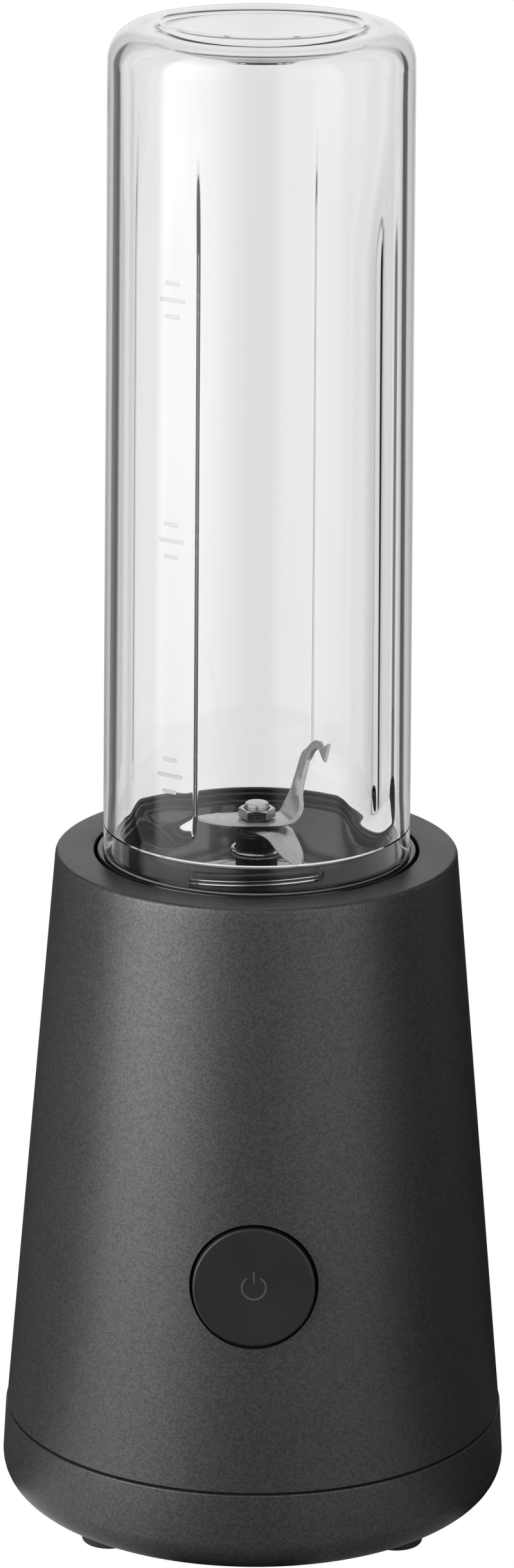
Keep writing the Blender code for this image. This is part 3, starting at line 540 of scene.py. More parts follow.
SENSOR = 36.0
FOCAL_IN_FRAME_HEIGHTS = 3.6019
CAMERA_PLACE = Vector((-0.69, -1340.3, 591.8)) * MM
LOOK_AT = Vector((0.0, 0.0, 187.55)) * MM
ROLL = 0.0066           # in radians


def make_camera():
    data = bpy.data.cameras.new("camera")
    data.sensor_width = SENSOR
    data.lens = SENSOR * FOCAL_IN_FRAME_HEIGHTS
    data.clip_start = 0.05
    data.clip_end = 50.0
    camera = bpy.data.objects.new("camera", data)
    bpy.context.scene.collection.objects.link(camera)
    ahead = (LOOK_AT - CAMERA_PLACE).normalized()
    right = ahead.cross(Vector((0.0, 0.0, 1.0))).normalized()
    up = right.cross(ahead)
    right_rolled = right * math.cos(ROLL) + up * math.sin(ROLL)
    up_rolled = up * math.cos(ROLL) - right * math.sin(ROLL)
    axes = Matrix((right_rolled, up_rolled, -ahead)).transposed()
    camera.matrix_world = Matrix.Translation(CAMERA_PLACE) @ axes.to_4x4()
    bpy.context.scene.camera = camera


# ---------------------------------------------------------------- motor base shells

def foot_places():
    return [(x, y) for x in (-FOOT_SPREAD, FOOT_SPREAD) for y in (-FOOT_SPREAD, FOOT_SPREAD)]


def make_base_ring():
    """Lower pan: rounded edge, two rings pressed in from below, posts, screw wells and air slots."""
    top = SEAM_Z - 0.45
    inner = BASE_RADIUS - 2.5
    pressed = PAN_BOTTOM + 0.4
    rings = []
    for near, far in ((17.5, 18.5), (36.5, 37.5)):
        rings += [(near, PAN_BOTTOM), (near, pressed), (far, pressed), (far, PAN_BOTTOM)]
    profile = rounded([
        (0.0, PAN_BOTTOM), *rings,
        (BASE_RADIUS, PAN_BOTTOM, PAN_EDGE),
        (BASE_RADIUS, PAN_BOTTOM + PAN_EDGE + 0.1),
        (PAN_TOP_RADIUS, top, 0.35),
        (PAN_TOP_RADIUS - 2.3, top, 0.2),
        (inner, PAN_FLOOR, PAN_EDGE - 2.8),
        (0.0, PAN_FLOOR),
    ], steps=10)
    posts = bmesh.new()
    post_foot = PAN_FLOOR - 1.0
    for x, y in pan_screw_places():
        rod(POST_RADIUS, post_foot, 22.0, 32, posts, x, y)
    for side in (-1, 1):
        box((side * 15.0 - 2.0, 43.0, post_foot), (side * 15.0 + 2.0, 47.0, 35.7), posts)
    box((-10.0, 48.0, post_foot), (10.0, 53.5, GLAND_Z - 3.8), posts)
    holes = bmesh.new()
    for x, y in pan_screw_places():
        well = [(0.0, 0.0), (3.4, 0.0), (3.4, 10.0), (1.9, 10.0), (1.9, 23.0), (0.0, 23.0)]
        revolve(well, 32, holes, x, y)
    for x, y in foot_places():
        rod(3.3, 0.0, 8.0, 32, holes, x, y)
    for slot in range(VENT_SLOTS):
        vent_slot(holes, 360.0 / VENT_SLOTS * (slot + 0.5))
    piece("base_ring", revolve(profile), SHELL, "base", ["base_pan"], 30.0,
          joins=[(posts, None)], cuts=[(holes, None), (rod(5.3, 56.0, 70.0, 48), inlet_frame())])


def vent_slot(bm, azimuth):
    """Radial air slot with round ends, cut through the floor of the pan."""
    half = 1.6
    steps = 8
    outline = []
    for end, start in ((33.4, -90.0), (21.6, 90.0)):
        for step in range(steps + 1):
            angle = math.radians(start + 180.0 * step / steps)
            outline.append((end + half * math.cos(angle), half * math.sin(angle)))
    turn = Matrix.Rotation(math.radians(azimuth), 3, "Z")
    loft([[turn @ point(x, y, z) for x, y in outline] for z in (0.0, 8.0)], bm)


def make_feet():
    high = PAN_BOTTOM - 0.3
    profile = rounded([
        (0.0, 0.35), (2.2, 0.35), (2.5, 0.0), (6.8, 0.0, 0.9), (6.8, high, 0.3), (3.0, high), (3.0, 5.7),
        (4.0, 5.8, 0.3), (2.4, 8.0, 0.4), (0.0, 8.0),
    ], 5)
    for number, (x, y) in enumerate(foot_places(), 1):
        piece(f"rubber_foot_{number}", revolve(profile, 64), FOOT_RUBBER, "base", [f"foot_{number}"],
              placement=Matrix.Translation(point(x, y, 0.0)))


def make_screw(name, node, x, y, corners, width, length):
    """Screw whose head points down and has a cross-shaped recess."""
    low = corners[0][1]
    recess = [
        (box((-length, -width, low - 2.0), (length, width, low + 1.4)), None),
        (box((-width, -length, low - 2.0), (width, length, low + 1.4)), None),
    ]
    piece(name, revolve(rounded(corners, 3), 32), ZINC, "base", [node],
          placement=Matrix.Translation(point(x, y, 0.0)), cuts=recess)


def make_screws():
    pan = [(0.0, 6.6), (3.0, 6.6, 0.6), (3.0, 9.7), (1.6, 9.7), (1.6, 40.0), (0.0, 40.6)]
    for number, (x, y) in enumerate(pan_screw_places(), 1):
        make_screw(f"pan_screw_{number}", f"base_screw_{number}", x, y, pan, 0.45, 1.7)
    collar = [(0.0, 153.4), (2.2, 153.4, 0.5), (2.2, 156.2), (1.2, 156.2), (1.2, 166.0), (0.0, 166.4)]
    for number, (x, y) in enumerate(collar_screw_places(), 1):
        make_screw(f"well_screw_{number}", f"collar_screw_{number}", x, y, collar, 0.35, 1.2)


def make_housing():
    """Tapered shell with a flat top round the well, screw posts and the button opening."""
    skin = HOUSING_TOP - 2.8
    bevel = 0.25
    low_outer = (HOUSING_BOTTOM_RADIUS, SEAM_Z)
    above_bevel = (HOUSING_BOTTOM_RADIUS, SEAM_Z + bevel)
    top_outer = (HOUSING_TOP_RADIUS, HOUSING_TOP)
    edge = fillet(low_outer, top_outer, (0.0, HOUSING_TOP), 1.1, 7)
    lip = fillet(top_outer, (WELL_RADIUS, HOUSING_TOP), (WELL_RADIUS, 160.0), 0.5, 5)
    inner_low = (HOUSING_BOTTOM_RADIUS - HOUSING_WALL, SEAM_Z)
    inner_high = (wall_radius(skin) - HOUSING_WALL, skin)
    profile = [(HOUSING_BOTTOM_RADIUS - bevel, SEAM_Z), above_bevel]
    profile += between(above_bevel, top_outer, 30)
    profile += edge + [(45.0, HOUSING_TOP)] + lip
    profile += [(WELL_RADIUS, 160.2), (WELL_RADIUS + 2.2, 160.2), (WELL_RADIUS + 2.2, skin), inner_high]
    profile += between(inner_high, inner_low, 30)
    profile += [inner_low]
    posts = bmesh.new()
    for x, y in pan_screw_places():
        rod(POST_RADIUS, SEAM_Z + 0.6, 45.0, 32, posts, x, y)
    for x, y in collar_screw_places():
        rod(3.0, 160.0, skin + 0.6, 32, posts, x, y)
    holes = bmesh.new()
    for x, y in pan_screw_places():
        rod(1.9, SEAM_Z, 42.0, 32, holes, x, y)
    for x, y in collar_screw_places():
        rod(1.5, 158.0, 167.0, 32, holes, x, y)
    opening = rod(BUTTON_HOLE_RADIUS, -12.0, 12.0, 144)
    piece("tapered_housing", revolve(profile), SHELL, "base", ["housing"], 30.0,
          joins=[(posts, None)], cuts=[(holes, None), (opening, button_frame())])


def make_well():
    """Locking collar: well with three ledges and end stops for the lugs, and the drive hole."""
    inner = 40.3
    rim_foot = COLLAR_HIGH.z - 3.0
    profile = rounded([
        (inner, COLLAR_HIGH.z, 0.3), (48.2, COLLAR_HIGH.z, 0.3), (48.2, rim_foot),
        (42.4, rim_foot), (42.4, COLLAR_LOW.z), (DRIVE_HOLE, COLLAR_LOW.z),
        (DRIVE_HOLE, WELL_FLOOR), (inner, WELL_FLOOR, 1.2),
    ], 4)
    stops = bmesh.new()
    low = WELL_FLOOR - 0.5
    section = [(37.9, low), (41.0, low), (41.0, 148.0), (38.6, 148.0), (37.9, 147.3)]
    for third in range(3):
        arc_block(section, section, 125.0 + 120.0 * third, 171.0 + 120.0 * third, 24, stops)
    for side in (-1, 1):
        box((side * 12.0 - 1.3, 35.2, 99.0), (side * 12.0 + 1.3, 40.6, 121.8), stops)
    holes = bmesh.new()
    for x, y in collar_screw_places():
        rod(1.5, 150.0, 165.0, 24, holes, x, y)
    rod(2.4, 118.0, 130.0, 24, holes, 0.0, 37.6)
    piece("jar_well", revolve(profile, MEDIUM * 2), SATIN_BLACK, "base", ["locking_collar"], 30.0,
          joins=[(stops, None)], cuts=[(holes, None)])


def make_splash_seal():
    """Rubber ring that lines the drive hole, with a lip on the floor of the well."""
    bore = 13.1
    outside = DRIVE_HOLE - 0.3
    lip_low, lip_high = WELL_FLOOR + 0.3, WELL_FLOOR + 1.3
    profile = rounded([
        (bore, 122.0, 0.2), (outside, 122.0, 0.2), (outside, lip_low), (16.2, lip_low, 0.3),
        (16.2, lip_high, 0.3), (14.5, lip_high, 0.3), (14.4, 128.0, 0.5), (bore, 128.0, 0.4),
    ], 4)
    piece("drive_splash_ring", revolve(profile, MEDIUM), FOOT_RUBBER, "base", ["splash_seal"])


def make_button():
    """Start button: flat face with a shallow dish, soft edge, and a plain power symbol."""
    cap = rounded([
        (0.0, 0.45), (9.0, 0.47), (BUTTON_RADIUS - 0.9, 0.6), (BUTTON_RADIUS, 0.6, 0.55),
        (BUTTON_RADIUS, -5.6), (17.2, -5.6, 0.2), (17.2, -7.1, 0.2), (2.5, -7.1), (2.5, -11.1), (0.0, -11.1),
    ], 7)
    place = button_frame()
    piece("start_button", revolve(cap, 144), BUTTON, "button", ["button_cap"], placement=place)
    icon = bmesh.new()
    face = 0.44
    raised = face + 0.10
    ring = [(2.75, face), (3.15, face), (3.15, raised), (2.75, raised)]
    arc_block(ring, ring, 125.0, 415.0, 48, icon)
    box((-0.2, 1.2, face), (0.2, 4.1, raised), icon)
    piece("button_symbol", icon, ICON, "button", placement=place)
    guide = rounded([
        (4.0, -12.0), (17.7, -12.0, 0.4), (17.7, -6.6), (19.2, -6.6), (19.2, -13.4, 0.4), (4.0, -13.4),
    ], 3)
    piece("button_sleeve", revolve(guide, MEDIUM), INNER, "base", ["button_guide"], placement=place)


def make_cord_inlet():
    gland = rounded([
        (3.2, 56.0), (7.0, 56.0, 0.4), (7.0, 59.0, 0.3), (5.0, 59.4), (5.0, 63.1, 0.6), (3.2, 63.1, 0.4),
    ], 4)
    piece("inlet_bushing", revolve(gland, 64), FOOT_RUBBER, "base", ["cord_gland"],
          placement=inlet_frame())


# ---------------------------------------------------------------- blade holder

def lug_section(low):
    """(radius, z) section of a lug. Its underside is lower at one end, which the ledges guide."""
    inside, outside = 36.4, 39.7
    return [(inside, low), (outside, low), (outside, 145.0), (inside, 146.5)]


def make_holder():
    """Gloss black holder: flange, skirt with three lugs, thread, two sealing beads and a bright bowl."""
    root = 34.9
    bowl = 33.4
    bead = bowl - 0.4
    skirt_outside, skirt_inside = 37.2, 35.0
    under_floor = BOWL_FLOOR - 2.4
    lining_top = 172.4
    beads = []
    for low in (172.3, 174.2):
        beads += [(bowl, low), (bead, low + 0.4, 0.2), (bead, low + 1.0, 0.2), (bowl, low + 1.4)]
    profile = rounded([
        (bowl, THREAD_TOP, 0.3), (root, THREAD_TOP, 0.4), (root, 169.6), (38.2, 169.6),
        (38.2, FLANGE_TOP, 0.25), (FLANGE_RADIUS, FLANGE_TOP, 0.45), (FLANGE_RADIUS, 168.6, 0.4),
        (skirt_outside, 167.8), (skirt_outside, HOLDER_LOW_Z, 0.5), (skirt_inside, HOLDER_LOW_Z, 0.3),
        (skirt_inside, under_floor, 1.5), (9.6, under_floor, 0.8), (9.4, 148.0, 0.2), (6.8, 148.0),
        (6.8, BOWL_FLOOR, 0.2), (bowl, BOWL_FLOOR, 2.4), *beads,
    ], 5)
    lugs = bmesh.new()
    for third in range(3):
        shift = 120.0 * third
        arc_block(lug_section(141.13), lug_section(138.33), 52.0 + shift, 94.0 + shift, 20, lugs)
    threads = bmesh.new()
    section = [(root - 0.3, -0.9), (35.95, -0.32), (36.0, 0.0), (35.95, 0.32), (root - 0.3, 0.9)]
    thread_ridges(section, HOLDER_THREAD_Z, THREAD_AZIMUTH, threads)
    holder = piece("jar_holder", revolve(profile, FINE), GLOSS_BLACK, "holder", ["blade_holder"], 30.0,
                   joins=[(lugs, None), (threads, None)])
    holder.data.materials.append(BOWL_LINING)
    for face in holder.data.polygons:
        middle = face.center / MM
        if math.hypot(middle.x, middle.y) < bowl + 0.3 and BOWL_FLOOR - 0.2 < middle.z < lining_top:
            face.material_index = 1


def make_bearing():
    """Column that carries the blades, the bright ring round it and the lip seal at its top."""
    bush = rounded([
        (SHAFT_BORE, BUSH_LOW.z), (6.5, BUSH_LOW.z, 0.4), (6.5, BOWL_FLOOR + 0.5, 0.3),
        (5.2, BOWL_FLOOR + 0.9), (5.2, 175.8, 0.5), (4.7, 175.8), (4.7, 172.6), (SHAFT_BORE, 172.6),
    ], 4)
    piece("hub_column", revolve(bush, 64), GLOSS_BLACK, "bearing_unit", ["blade_bearing"])
    ring = rounded([(5.5, 170.9), (6.5, 170.8, 0.4), (6.5, 172.2, 0.5), (5.5, 172.3, 0.2)], 5)
    piece("bright_ring", revolve(ring, 64), STEEL, "bearing_unit", ["hub_ring"])
    lip = rounded([(SHAFT_BORE, 172.9), (4.4, 172.9), (4.4, 175.9, 0.4), (SHAFT_BORE, 175.9, 0.2)], 4)
    piece("lip_seal", revolve(lip, 48), SEAL, "bearing_unit", ["shaft_seal"])


def make_gasket():
    low, high = 169.9, 171.0
    ring = rounded([(35.3, low, 0.3), (37.9, low, 0.3), (37.9, high, 0.3), (35.3, high, 0.3)], 4)
    piece("cup_seal_ring", revolve(ring, FINE), SEAL, "gasket", ["cup_gasket"])


# ---------------------------------------------------------------- blades

BLADE_THICKNESS = 1.0


def curve_through(stations, per_span):
    """Smooth stations between the given ones (Catmull-Rom), so that a bend is round."""
    smooth = []
    last = len(stations) - 1
    for index in range(last):
        p0 = stations[max(index - 1, 0)]
        p1, p2 = stations[index], stations[index + 1]
        p3 = stations[min(index + 2, last)]
        for step in range(per_span):
            t = step / per_span
            smooth.append(tuple(
                0.5 * (2 * b + (c - a) * t + (2 * a - 5 * b + 4 * c - d) * t * t
                       + (3 * b - a - 3 * c + d) * t ** 3)
                for a, b, c, d in zip(p0, p1, p2, p3)
            ))
    smooth.append(stations[-1])
    return smooth


def blade_strip(stations):
    """Ground blade through stations of (x, y, z, half width, azimuth of its width). Both long
    edges are bevelled down to a cutting edge."""
    path = curve_through(stations, 5)
    centres = [point(*station[:3]) for station in path]
    rings = []
    for index, station in enumerate(path):
        half_width, azimuth = station[3:]
        before = centres[max(index - 1, 0)]
        after = centres[min(index + 1, len(path) - 1)]
        along = (after - before).normalized()
        width = max(half_width, 0.25)
        unit = polar(1.0, azimuth, 0.0)
        normal = unit.cross(along).normalized() * BLADE_THICKNESS / 2.0 * MM
        grind = min(1.1, width * 0.45)
        centre = centres[index]
        flat = width - grind
        cutting = 0.25
        rings.append([
            centre - unit * flat - normal, centre + unit * flat - normal,
            centre + unit * width - normal * cutting, centre + unit * width + normal * cutting,
            centre + unit * flat + normal, centre - unit * flat + normal,
            centre - unit * width + normal * cutting, centre - unit * width - normal * cutting,
        ])
    return loft(rings)


def hooked_tip():
    """Barbed end of the standing blade, in the plane of its width and its length."""
    across = Vector((0.6, -0.8, 0.0))
    along = Vector((0.357, -0.041, 0.933)).normalized()
    normal = across.cross(along).normalized() * BLADE_THICKNESS / 2.0 * MM
    origin = point(9.5, -0.2, 181.0)
    outline = [
        (-5.7, 13.6), (-5.0, 15.6), (-3.8, 18.2), (-2.6, 19.2), (-1.2, 19.3), (0.2, 18.4), (1.2, 18.0),
        (2.3, 19.5), (3.4, 14.6), (1.4, 16.0), (-0.2, 17.2), (-1.4, 17.2), (-2.1, 16.2), (-2.4, 13.6),
    ]
    face = [origin + (across * w + along * l) * MM for w, l in outline]
    return loft([[corner - normal for corner in face], [corner + normal for corner in face]])


def blade_bore():
    return rod(SHAFT_BORE, 170.0, 190.0, 48), None


def make_blades():
    """Standing upper blade, drooping lower blade, hexagon nut and shaft."""
    upper = [
        (-16.2, -1.2, 179.2, 0.4, -90.0), (-12.6, -1.0, 179.0, 3.4, -90.0), (-7.0, -0.6, 178.7, 5.6, -90.0),
        (0.0, 0.0, 178.7, 6.2, -90.0), (5.2, 0.1, 178.7, 5.8, -84.0), (7.6, 0.3, 179.5, 5.2, -70.0),
        (9.2, 1.0, 182.2, 4.2, -58.0), (10.0, 2.1, 186.0, 2.4, -53.0), (12.0, 2.4, 194.0, 1.9, -53.0),
        (12.8, 2.3, 196.0, 1.5, -53.0),
    ]
    piece("upper_blade", blade_strip(upper), BLADE, "rotor", ["blade_upper"], 20.0, cuts=[blade_bore()],
          joins=[(hooked_tip(), None)])
    arm = -48.0
    turned = math.radians(arm)
    lower = []
    sections = ((-15.5, 176.2, 0.6), (-11.0, 176.8, 3.4), (-6.0, 177.3, 4.8), (0.0, 177.3, 5.4),
                (6.0, 177.3, 5.0), (9.0, 176.5, 4.4), (13.0, 173.3, 3.4), (16.5, 170.4, 0.4))
    for distance, z, half_width in sections:
        lower.append((distance * math.cos(turned), distance * math.sin(turned), z, half_width, arm - 90.0))
    piece("lower_blade", blade_strip(lower), BLADE, "rotor", ["blade_lower"], 20.0, cuts=[blade_bore()])
    nut_top = NUT_HIGH.z - 0.5
    nut = revolve([(SHAFT_BORE, NUT_LOW.z), (5.1, NUT_LOW.z), (5.1, NUT_HIGH.z - 1.1), (4.1, nut_top),
                   (SHAFT_BORE, nut_top)], MEDIUM)
    flats = []
    for side in range(6):
        flat = box((4.0, -6.0, NUT_LOW.z - 1.0), (8.0, 6.0, NUT_HIGH.z + 1.0), turn=60.0 * side + 30.0)
        flats.append((flat, None))
    piece("blade_lock_nut", nut, STEEL, "rotor", ["blade_nut"], 25.0, cuts=flats)
    shaft = rounded([(0.0, SHAFT_LOW.z), (3.0, SHAFT_LOW.z, 0.4), (3.0, SHAFT_HIGH.z - 0.2, 0.7),
                     (0.0, SHAFT_HIGH.z)], 5)
    piece("blade_spindle", revolve(shaft, 48), STEEL, "rotor", ["blade_shaft"])


# ---------------------------------------------------------------- cup

RIB_MIDDLE = -40.2      # of the front left rib, in degrees from the front
RIB_HALF = 10.1         # half width along the wall
RIB_STEEP = 1.7         # width of the flank that faces the turning food
RIB_GENTLE = 16.5       # width of the other flank
RIB_DEPTH = 1.6
RIB_SPACING = 90.0
RIB_FOOT = 178.6
RIB_FOOT_SLOPE = 8.0    # height over which the foot grows out of the wall
RIB_FOOT_CROWN = 4.0    # how much higher the foot starts at its sides than at its middle
RIB_HEAD = 360.0
RIB_FADE = 40.0
CUP_INSIDE = 34.5
RIM_STEP = 177.6        # ledge above the screw thread
PUNT_RADIUS = 24.6      # hollow in the base of the cup
PUNT_DEPTH = 3.6
PUNT_EYE = 0.6          # innermost ring of the two end faces
ROOF_THICKNESS = 2.8


def rib_depth(azimuth, z):
    """How far a rib stands into the cup at a place. Its foot is round, and its head fades."""
    offset = (azimuth - FRONT - RIB_MIDDLE + RIB_SPACING / 2.0) % RIB_SPACING - RIB_SPACING / 2.0
    across = math.radians(offset) * CUP_INSIDE
    width = ramp(-RIB_HALF, RIB_GENTLE - RIB_HALF, across)
    width *= smoothstep(RIB_HALF, RIB_HALF - RIB_STEEP, across)
    foot = RIB_FOOT + RIB_FOOT_CROWN * min(1.0, abs(across) / RIB_HALF) ** 2
    ends = ramp(foot, foot + RIB_FOOT_SLOPE, z) * smoothstep(RIB_HEAD, RIB_HEAD - RIB_FADE, z)
    return RIB_DEPTH * width * ends


def cup_azimuths():
    """Azimuths round the cup: finer on the gentle flanks of the ribs, and finest on the steep ones."""
    offsets = []
    for first, spacing, count in ((-45.0, 1.7, 16), (-17.6, 1.1, 28), (13.0, 0.34, 15), (19.0, 1.7, 15)):
        offsets += [first + spacing * step for step in range(count)]
    return [FRONT + RIB_MIDDLE + RIB_SPACING * rib + offset for rib in range(4) for offset in offsets]


def cup_outside(z):
    """Outer radius of the slightly tapered cup at a height."""
    share = (z - CUP_RIM) / (CUP_TOP - CUP_RIM)
    return CUP_RIM_RADIUS + (CUP_TOP_RADIUS - CUP_RIM_RADIUS) * share


def punt(radius):
    """Height of the hollow in the base of the cup."""
    return CUP_TOP - PUNT_DEPTH * (1.0 - (radius / PUNT_RADIUS) ** 2)


def cup_inner_rings():
    """(radius, z) down the inside of the cup, from the middle of its roof to its rim."""
    roof = CUP_TOP - ROOF_THICKNESS - 0.3
    wall = cup_outside(roof) - CUP_WALL
    rows = []
    for radius in (PUNT_EYE, 2.0, 4.0, 6.0, 7.5, 8.0, 8.5, 9.0, 9.5, 11.0, 13.0, 15.0, 17.0, 19.0, 20.5):
        boss = 0.9 * smoothstep(9.4, 7.4, radius)
        rows.append((radius, min(roof, punt(radius) - ROOF_THICKNESS) - boss))
    rows += [(22.5, roof), (26.0, roof)]
    rows += fillet((0.0, roof), (wall, roof), (wall, roof - 30.0), 7.0, 14)
    full = RIB_HEAD - RIB_FADE
    foot = RIB_FOOT + RIB_FOOT_SLOPE + RIB_FOOT_CROWN
    heights = [RIB_HEAD - RIB_FADE * step / 12 for step in range(13)]
    heights += [full - (full - foot) * step / 24 for step in range(1, 25)]
    heights += [foot + (RIB_FOOT - foot) * step / 26 for step in range(1, 27)]
    heights.append(RIM_STEP + 0.15)
    return rows + [(cup_outside(z) - CUP_WALL, z) for z in heights]


def cup_outer_rings():
    """(radius, z) from the rim of the cup up its outside to the middle of its base."""
    neck = 36.4
    edge, soft = CUP_RIM + 0.4, CUP_RIM + 0.12
    rows = [(neck, RIM_STEP), (neck, edge), (36.5, soft), (36.8, CUP_RIM), (37.8, CUP_RIM), (38.1, soft),
            (CUP_RIM_RADIUS, edge)]
    wall = (cup_outside(300.0), 300.0)
    shoulder = fillet(wall, (CUP_TOP_RADIUS, CUP_TOP - 0.3), (26.0, CUP_TOP), 9.2, 20)
    steps = 12
    for step in range(1, steps):
        z = CUP_RIM + (shoulder[0][1] - CUP_RIM) * step / steps
        rows.append((cup_outside(z), z))
    rows += shoulder
    rows += fillet((27.0, CUP_TOP - 0.05), (PUNT_RADIUS, CUP_TOP), (18.0, punt(18.0)), 2.0, 6)
    inwards = (22.5, 20.0, 17.0, 14.0, 11.0, 8.0, 5.0, 2.5, PUNT_EYE)
    return rows + [(radius, punt(radius)) for radius in inwards]


def make_cup():
    """Clear cup, upside down, with four ratchet-shaped ribs inside and an inner screw thread."""
    azimuths = cup_azimuths()
    rings = []
    for radius, z in cup_inner_rings():
        rings.append([polar(radius - rib_depth(azimuth, z), azimuth, z) for azimuth in azimuths])
    for radius, z in cup_outer_rings():
        rings.append([polar(radius, azimuth, z) for azimuth in azimuths])
    threads = bmesh.new()
    section = [(36.7, -0.9), (36.7, 0.9), (35.4, 0.32), (35.35, 0.0), (35.4, -0.32)]
    thread_ridges(section, CUP_THREAD_Z, THREAD_AZIMUTH, threads)
    piece("clear_cup", loft(rings), CLEAR, "cup_body", ["cup"], 40.0, joins=[(threads, None)])


def make_cup_marks():
    """Plain raised level lines beside the front left rib: a long line between two short ones, three times."""
    marks = bmesh.new()
    azimuth = FRONT - 34.0
    for z in (199.0, 257.5, 316.0):
        for step, half in ((0.0, 3.6), (4.0, 2.0), (-4.0, 2.0)):
            height = z + step
            radius = cup_outside(height)
            root, face = radius - 0.02, radius + 0.05
            band = [(root, height - 0.5), (face, height - 0.4), (face, height + 0.4), (root, height + 0.5)]
            reach = math.degrees(half / radius)
            arc_block(band, band, azimuth - reach, azimuth + reach, 8, marks)
    piece("level_lines", marks, FROST, "cup_body")


# ---------------------------------------------------------------- carried-over CAD nodes

def dress_nodes():
    """Materials of the CAD nodes that stay as they are."""
    looks = {
        SATIN_BLACK: ("start_switch", "interlock_switch"),
        INNER: ("drive_socket", "cooling_fan", "cord_clamp", "brush_holder_front", "brush_holder_rear"),
        NYLON: ("drive_coupling", "interlock_pin"),
        ZINC: ("motor_bolt_1", "motor_bolt_2", "clamp_pillar_1", "clamp_pillar_2", "interlock_spring"),
        STEEL: ("motor_shaft", "bearing_lower", "bearing_upper"),
        LAMINATIONS: ("stator_core", "armature_core", "motor_bracket_lower", "motor_bracket_upper"),
        COPPER: ("field_coil_left", "field_coil_right", "armature_winding_lower", "armature_winding_upper"),
        BARS: ("commutator",),
        FOOT_RUBBER: ("motor_mount_1", "motor_mount_2", "motor_mount_3"),
        CARBON: ("brush_front", "brush_rear"),
        BOARD: ("control_board",),
    }
    for mat, names in looks.items():
        for name in names:
            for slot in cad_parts[name].material_slots:
                slot.material = mat


# ---------------------------------------------------------------- studio

def is_ray(tree, kind):
    """1 for one kind of ray, 0 for any other."""
    return tree.nodes.new("ShaderNodeLightPath").outputs[kind]


def components(tree, vector):
    node = tree.nodes.new("ShaderNodeSeparateXYZ")
    tree.links.new(vector, node.inputs["Vector"])
    return node.outputs


def lit_round(tree, direction, stops):
    """Level that depends on the azimuth alone, from stops of (degrees from the front, level)."""
    split = components(tree, direction)
    toward = tree.nodes.new("ShaderNodeMath")
    toward.operation = "MULTIPLY"
    toward.inputs[1].default_value = -1.0
    tree.links.new(split["Y"], toward.inputs[0])
    angle = tree.nodes.new("ShaderNodeMath")
    angle.operation = "ARCTAN2"
    tree.links.new(split["X"], angle.inputs[0])
    tree.links.new(toward.outputs[0], angle.inputs[1])
    turns = tree.nodes.new("ShaderNodeMath")
    turns.operation = "MULTIPLY_ADD"
    turns.inputs[1].default_value = 1.0 / math.tau
    turns.inputs[2].default_value = 0.5
    tree.links.new(angle.outputs[0], turns.inputs[0])
    levels = tree.nodes.new("ShaderNodeValToRGB")
    elements = levels.color_ramp.elements
    while len(elements) < len(stops):
        elements.new(0.5)
    for element, (degrees, level) in zip(elements, stops):
        element.position = degrees / 360.0 + 0.5
        element.color = grey(level)
    tree.links.new(turns.outputs[0], levels.inputs["Fac"])
    return levels.outputs["Color"]


# Levels round the studio, with 1.0 as plain white. Surfaces reflect a large softbox at the front left, a
# smaller one at the front right, weak strips at both sides and a white sheet behind. Through the cup the
# studio is bright nearly all round, with dark flags that draw the lines of the ribs and edges.
BRIGHTEST = 7.2
WHITE = 1.0
SEEN_IN_SURFACES = (
    (-180.0, 0.90), (-166.0, 0.80), (-158.0, 0.02), (-128.0, 0.02), (-120.0, 0.35), (-104.0, 0.35),
    (-96.0, 0.02), (-82.0, 0.02), (-75.0, 7.2), (-58.0, 7.0), (-36.0, 4.4), (-18.0, 0.05), (10.0, 0.03),
    (18.0, 1.5), (36.0, 1.6), (43.0, 2.3), (60.0, 2.3), (66.0, 0.02), (96.0, 0.02), (104.0, 0.35),
    (120.0, 0.35), (128.0, 0.02), (158.0, 0.02), (166.0, 0.80), (180.0, 0.90),
)
SEEN_THROUGH_GLASS = (
    (-180.0, 0.84), (-177.0, 0.87), (-174.0, 0.91), (-168.0, 0.90), (-154.0, 0.78), (-151.0, 0.15),
    (-138.0, 0.15), (-134.0, 0.80), (-122.0, 0.80), (-118.0, 0.10), (-100.0, 0.10), (-96.0, 0.85),
    (-20.0, 0.85), (-8.0, 0.20), (8.0, 0.20), (20.0, 0.85), (138.0, 0.85), (140.0, 0.04), (147.0, 0.04),
    (150.0, 0.78), (168.0, 0.89), (174.0, 0.91), (177.0, 0.87), (180.0, 0.84),
)
TOP_IN_SURFACES = 0.4
TOP_THROUGH_GLASS = 0.75
TOP_FADE = (0.55, 0.85)         # sines of the heights above the horizon between which the top takes over
FLOOR_SHADE_SHARES = (0.12, 0.8)      # of the studio's level that surfaces see in the floor, near and far; the low near share is painted shade of the object on the floor
FLOOR_REACH = (0.35, 1.3)       # metres from the object at which the two shares hold


def grey(level):
    """Colour of a studio level, as a share of the brightest one."""
    return (level / BRIGHTEST, level / BRIGHTEST, level / BRIGHTEST, 1.0)


MIX_PLAIN, MIX_SPECIAL, MIX_RESULT = 6, 7, 2     # numbers of a Mix node's colour sockets


def mix_by(tree, share, plain, special):
    """Colour that is special where share is 1. Each side is a socket or a studio level."""
    node = tree.nodes.new("ShaderNodeMix")
    node.data_type = "RGBA"
    tree.links.new(share, node.inputs["Factor"])
    for value, number in ((plain, MIX_PLAIN), (special, MIX_SPECIAL)):
        if isinstance(value, float):
            node.inputs[number].default_value = grey(value)
        else:
            tree.links.new(value, node.inputs[number])
    return node.outputs[MIX_RESULT]


def glow(tree, in_surfaces, through_glass):
    """What each kind of ray sees: camera rays plain white, rays through the cup and all others their own."""
    unseen = mix_by(tree, is_ray(tree, "Is Transmission Ray"), in_surfaces, through_glass)
    return mix_by(tree, is_ray(tree, "Is Camera Ray"), unseen, WHITE)


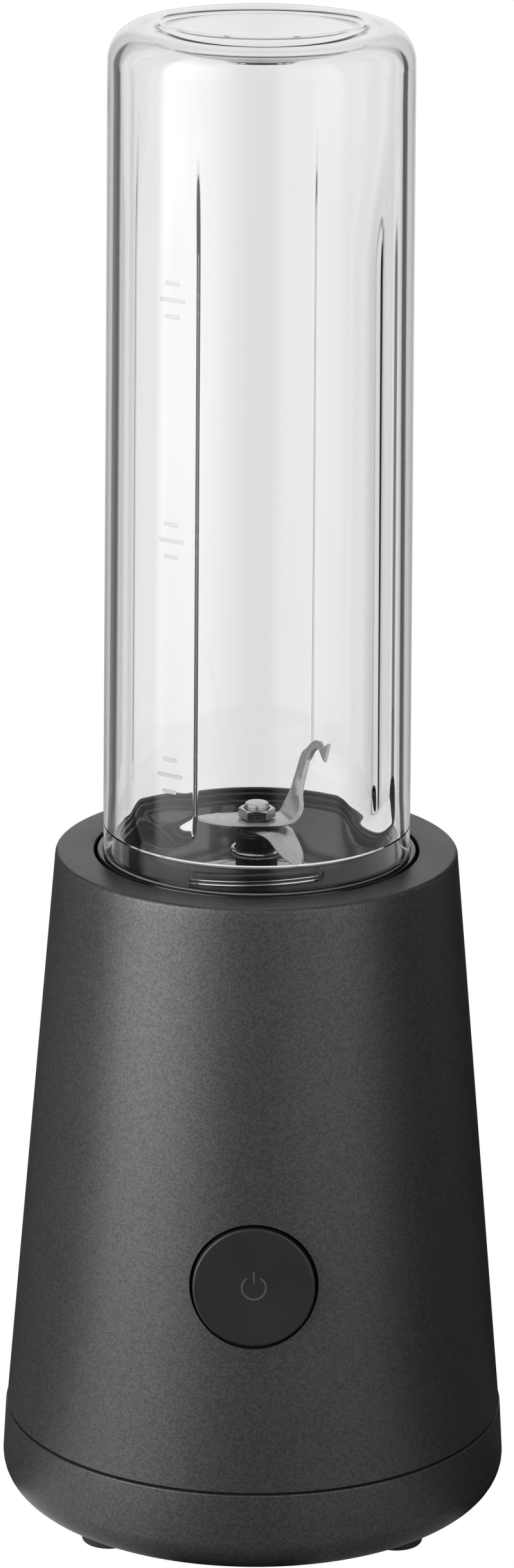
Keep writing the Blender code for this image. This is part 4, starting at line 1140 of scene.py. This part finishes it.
def make_floor():
    """Pale seamless floor that reads as plain white to the camera. It gives less light near the object:
    painted shade standing in for the object's shadow.
    """
    bm = bmesh.new()
    radii = (20.0, 400.0, 2000.0, 14000.0)
    rings = [[polar(radius, 360.0 * i / MEDIUM, 0.0) for i in range(MEDIUM)] for radius in radii]
    loft(rings, bm, ends=False)
    bm.verts.ensure_lookup_table()
    bm.faces.new(bm.verts[:MEDIUM])
    mat, tree, shader = new_material("studio_floor")
    shader.inputs["Roughness"].default_value = 0.9
    shader.inputs["Specular IOR Level"].default_value = 0.1
    shader.inputs["Base Color"].default_value = (0.0, 0.0, 0.0, 1.0)
    space = texture_space(tree)
    reach = tree.nodes.new("ShaderNodeVectorMath")
    reach.operation = "LENGTH"
    tree.links.new(space, reach.inputs[0])
    # painted shade: the floor glows less near the object, in place of the object's shadow on it, as surfaces
    # reflect it
    share = remap(tree, reach.outputs["Value"], *FLOOR_SHADE_SHARES, *FLOOR_REACH)
    in_surfaces = mix_by(tree, share, 0.0, lit_round(tree, space, SEEN_IN_SURFACES))
    through_glass = lit_round(tree, space, SEEN_THROUGH_GLASS)
    tree.links.new(glow(tree, in_surfaces, through_glass), shader.inputs["Emission Color"])
    shader.inputs["Emission Strength"].default_value = BRIGHTEST
    make_object("floor", bm, mat)


def make_world():
    """Soft surround whose level depends on the azimuth, and on the height near the top."""
    world = bpy.data.worlds.new("studio")
    bpy.context.scene.world = world
    world.use_nodes = True
    tree = world.node_tree
    background = tree.nodes["Background"]
    direction = tree.nodes.new("ShaderNodeTexCoord").outputs["Generated"]
    top = remap(tree, components(tree, direction)["Z"], 0.0, 1.0, *TOP_FADE)
    in_surfaces = mix_by(tree, top, lit_round(tree, direction, SEEN_IN_SURFACES), TOP_IN_SURFACES)
    through_glass = mix_by(tree, top, lit_round(tree, direction, SEEN_THROUGH_GLASS), TOP_THROUGH_GLASS)
    tree.links.new(glow(tree, in_surfaces, through_glass), background.inputs["Color"])
    background.inputs["Strength"].default_value = BRIGHTEST


def make_studio():
    make_floor()
    make_world()
    bpy.context.scene.view_settings.view_transform = "Standard"
    bpy.context.scene.view_settings.look = "None"


def main():
    make_camera()
    make_base_ring()
    make_feet()
    make_screws()
    make_housing()
    make_well()
    make_splash_seal()
    make_button()
    make_cord_inlet()
    make_holder()
    make_bearing()
    make_gasket()
    make_blades()
    make_cup()
    make_cup_marks()
    dress_nodes()
    make_studio()


main()
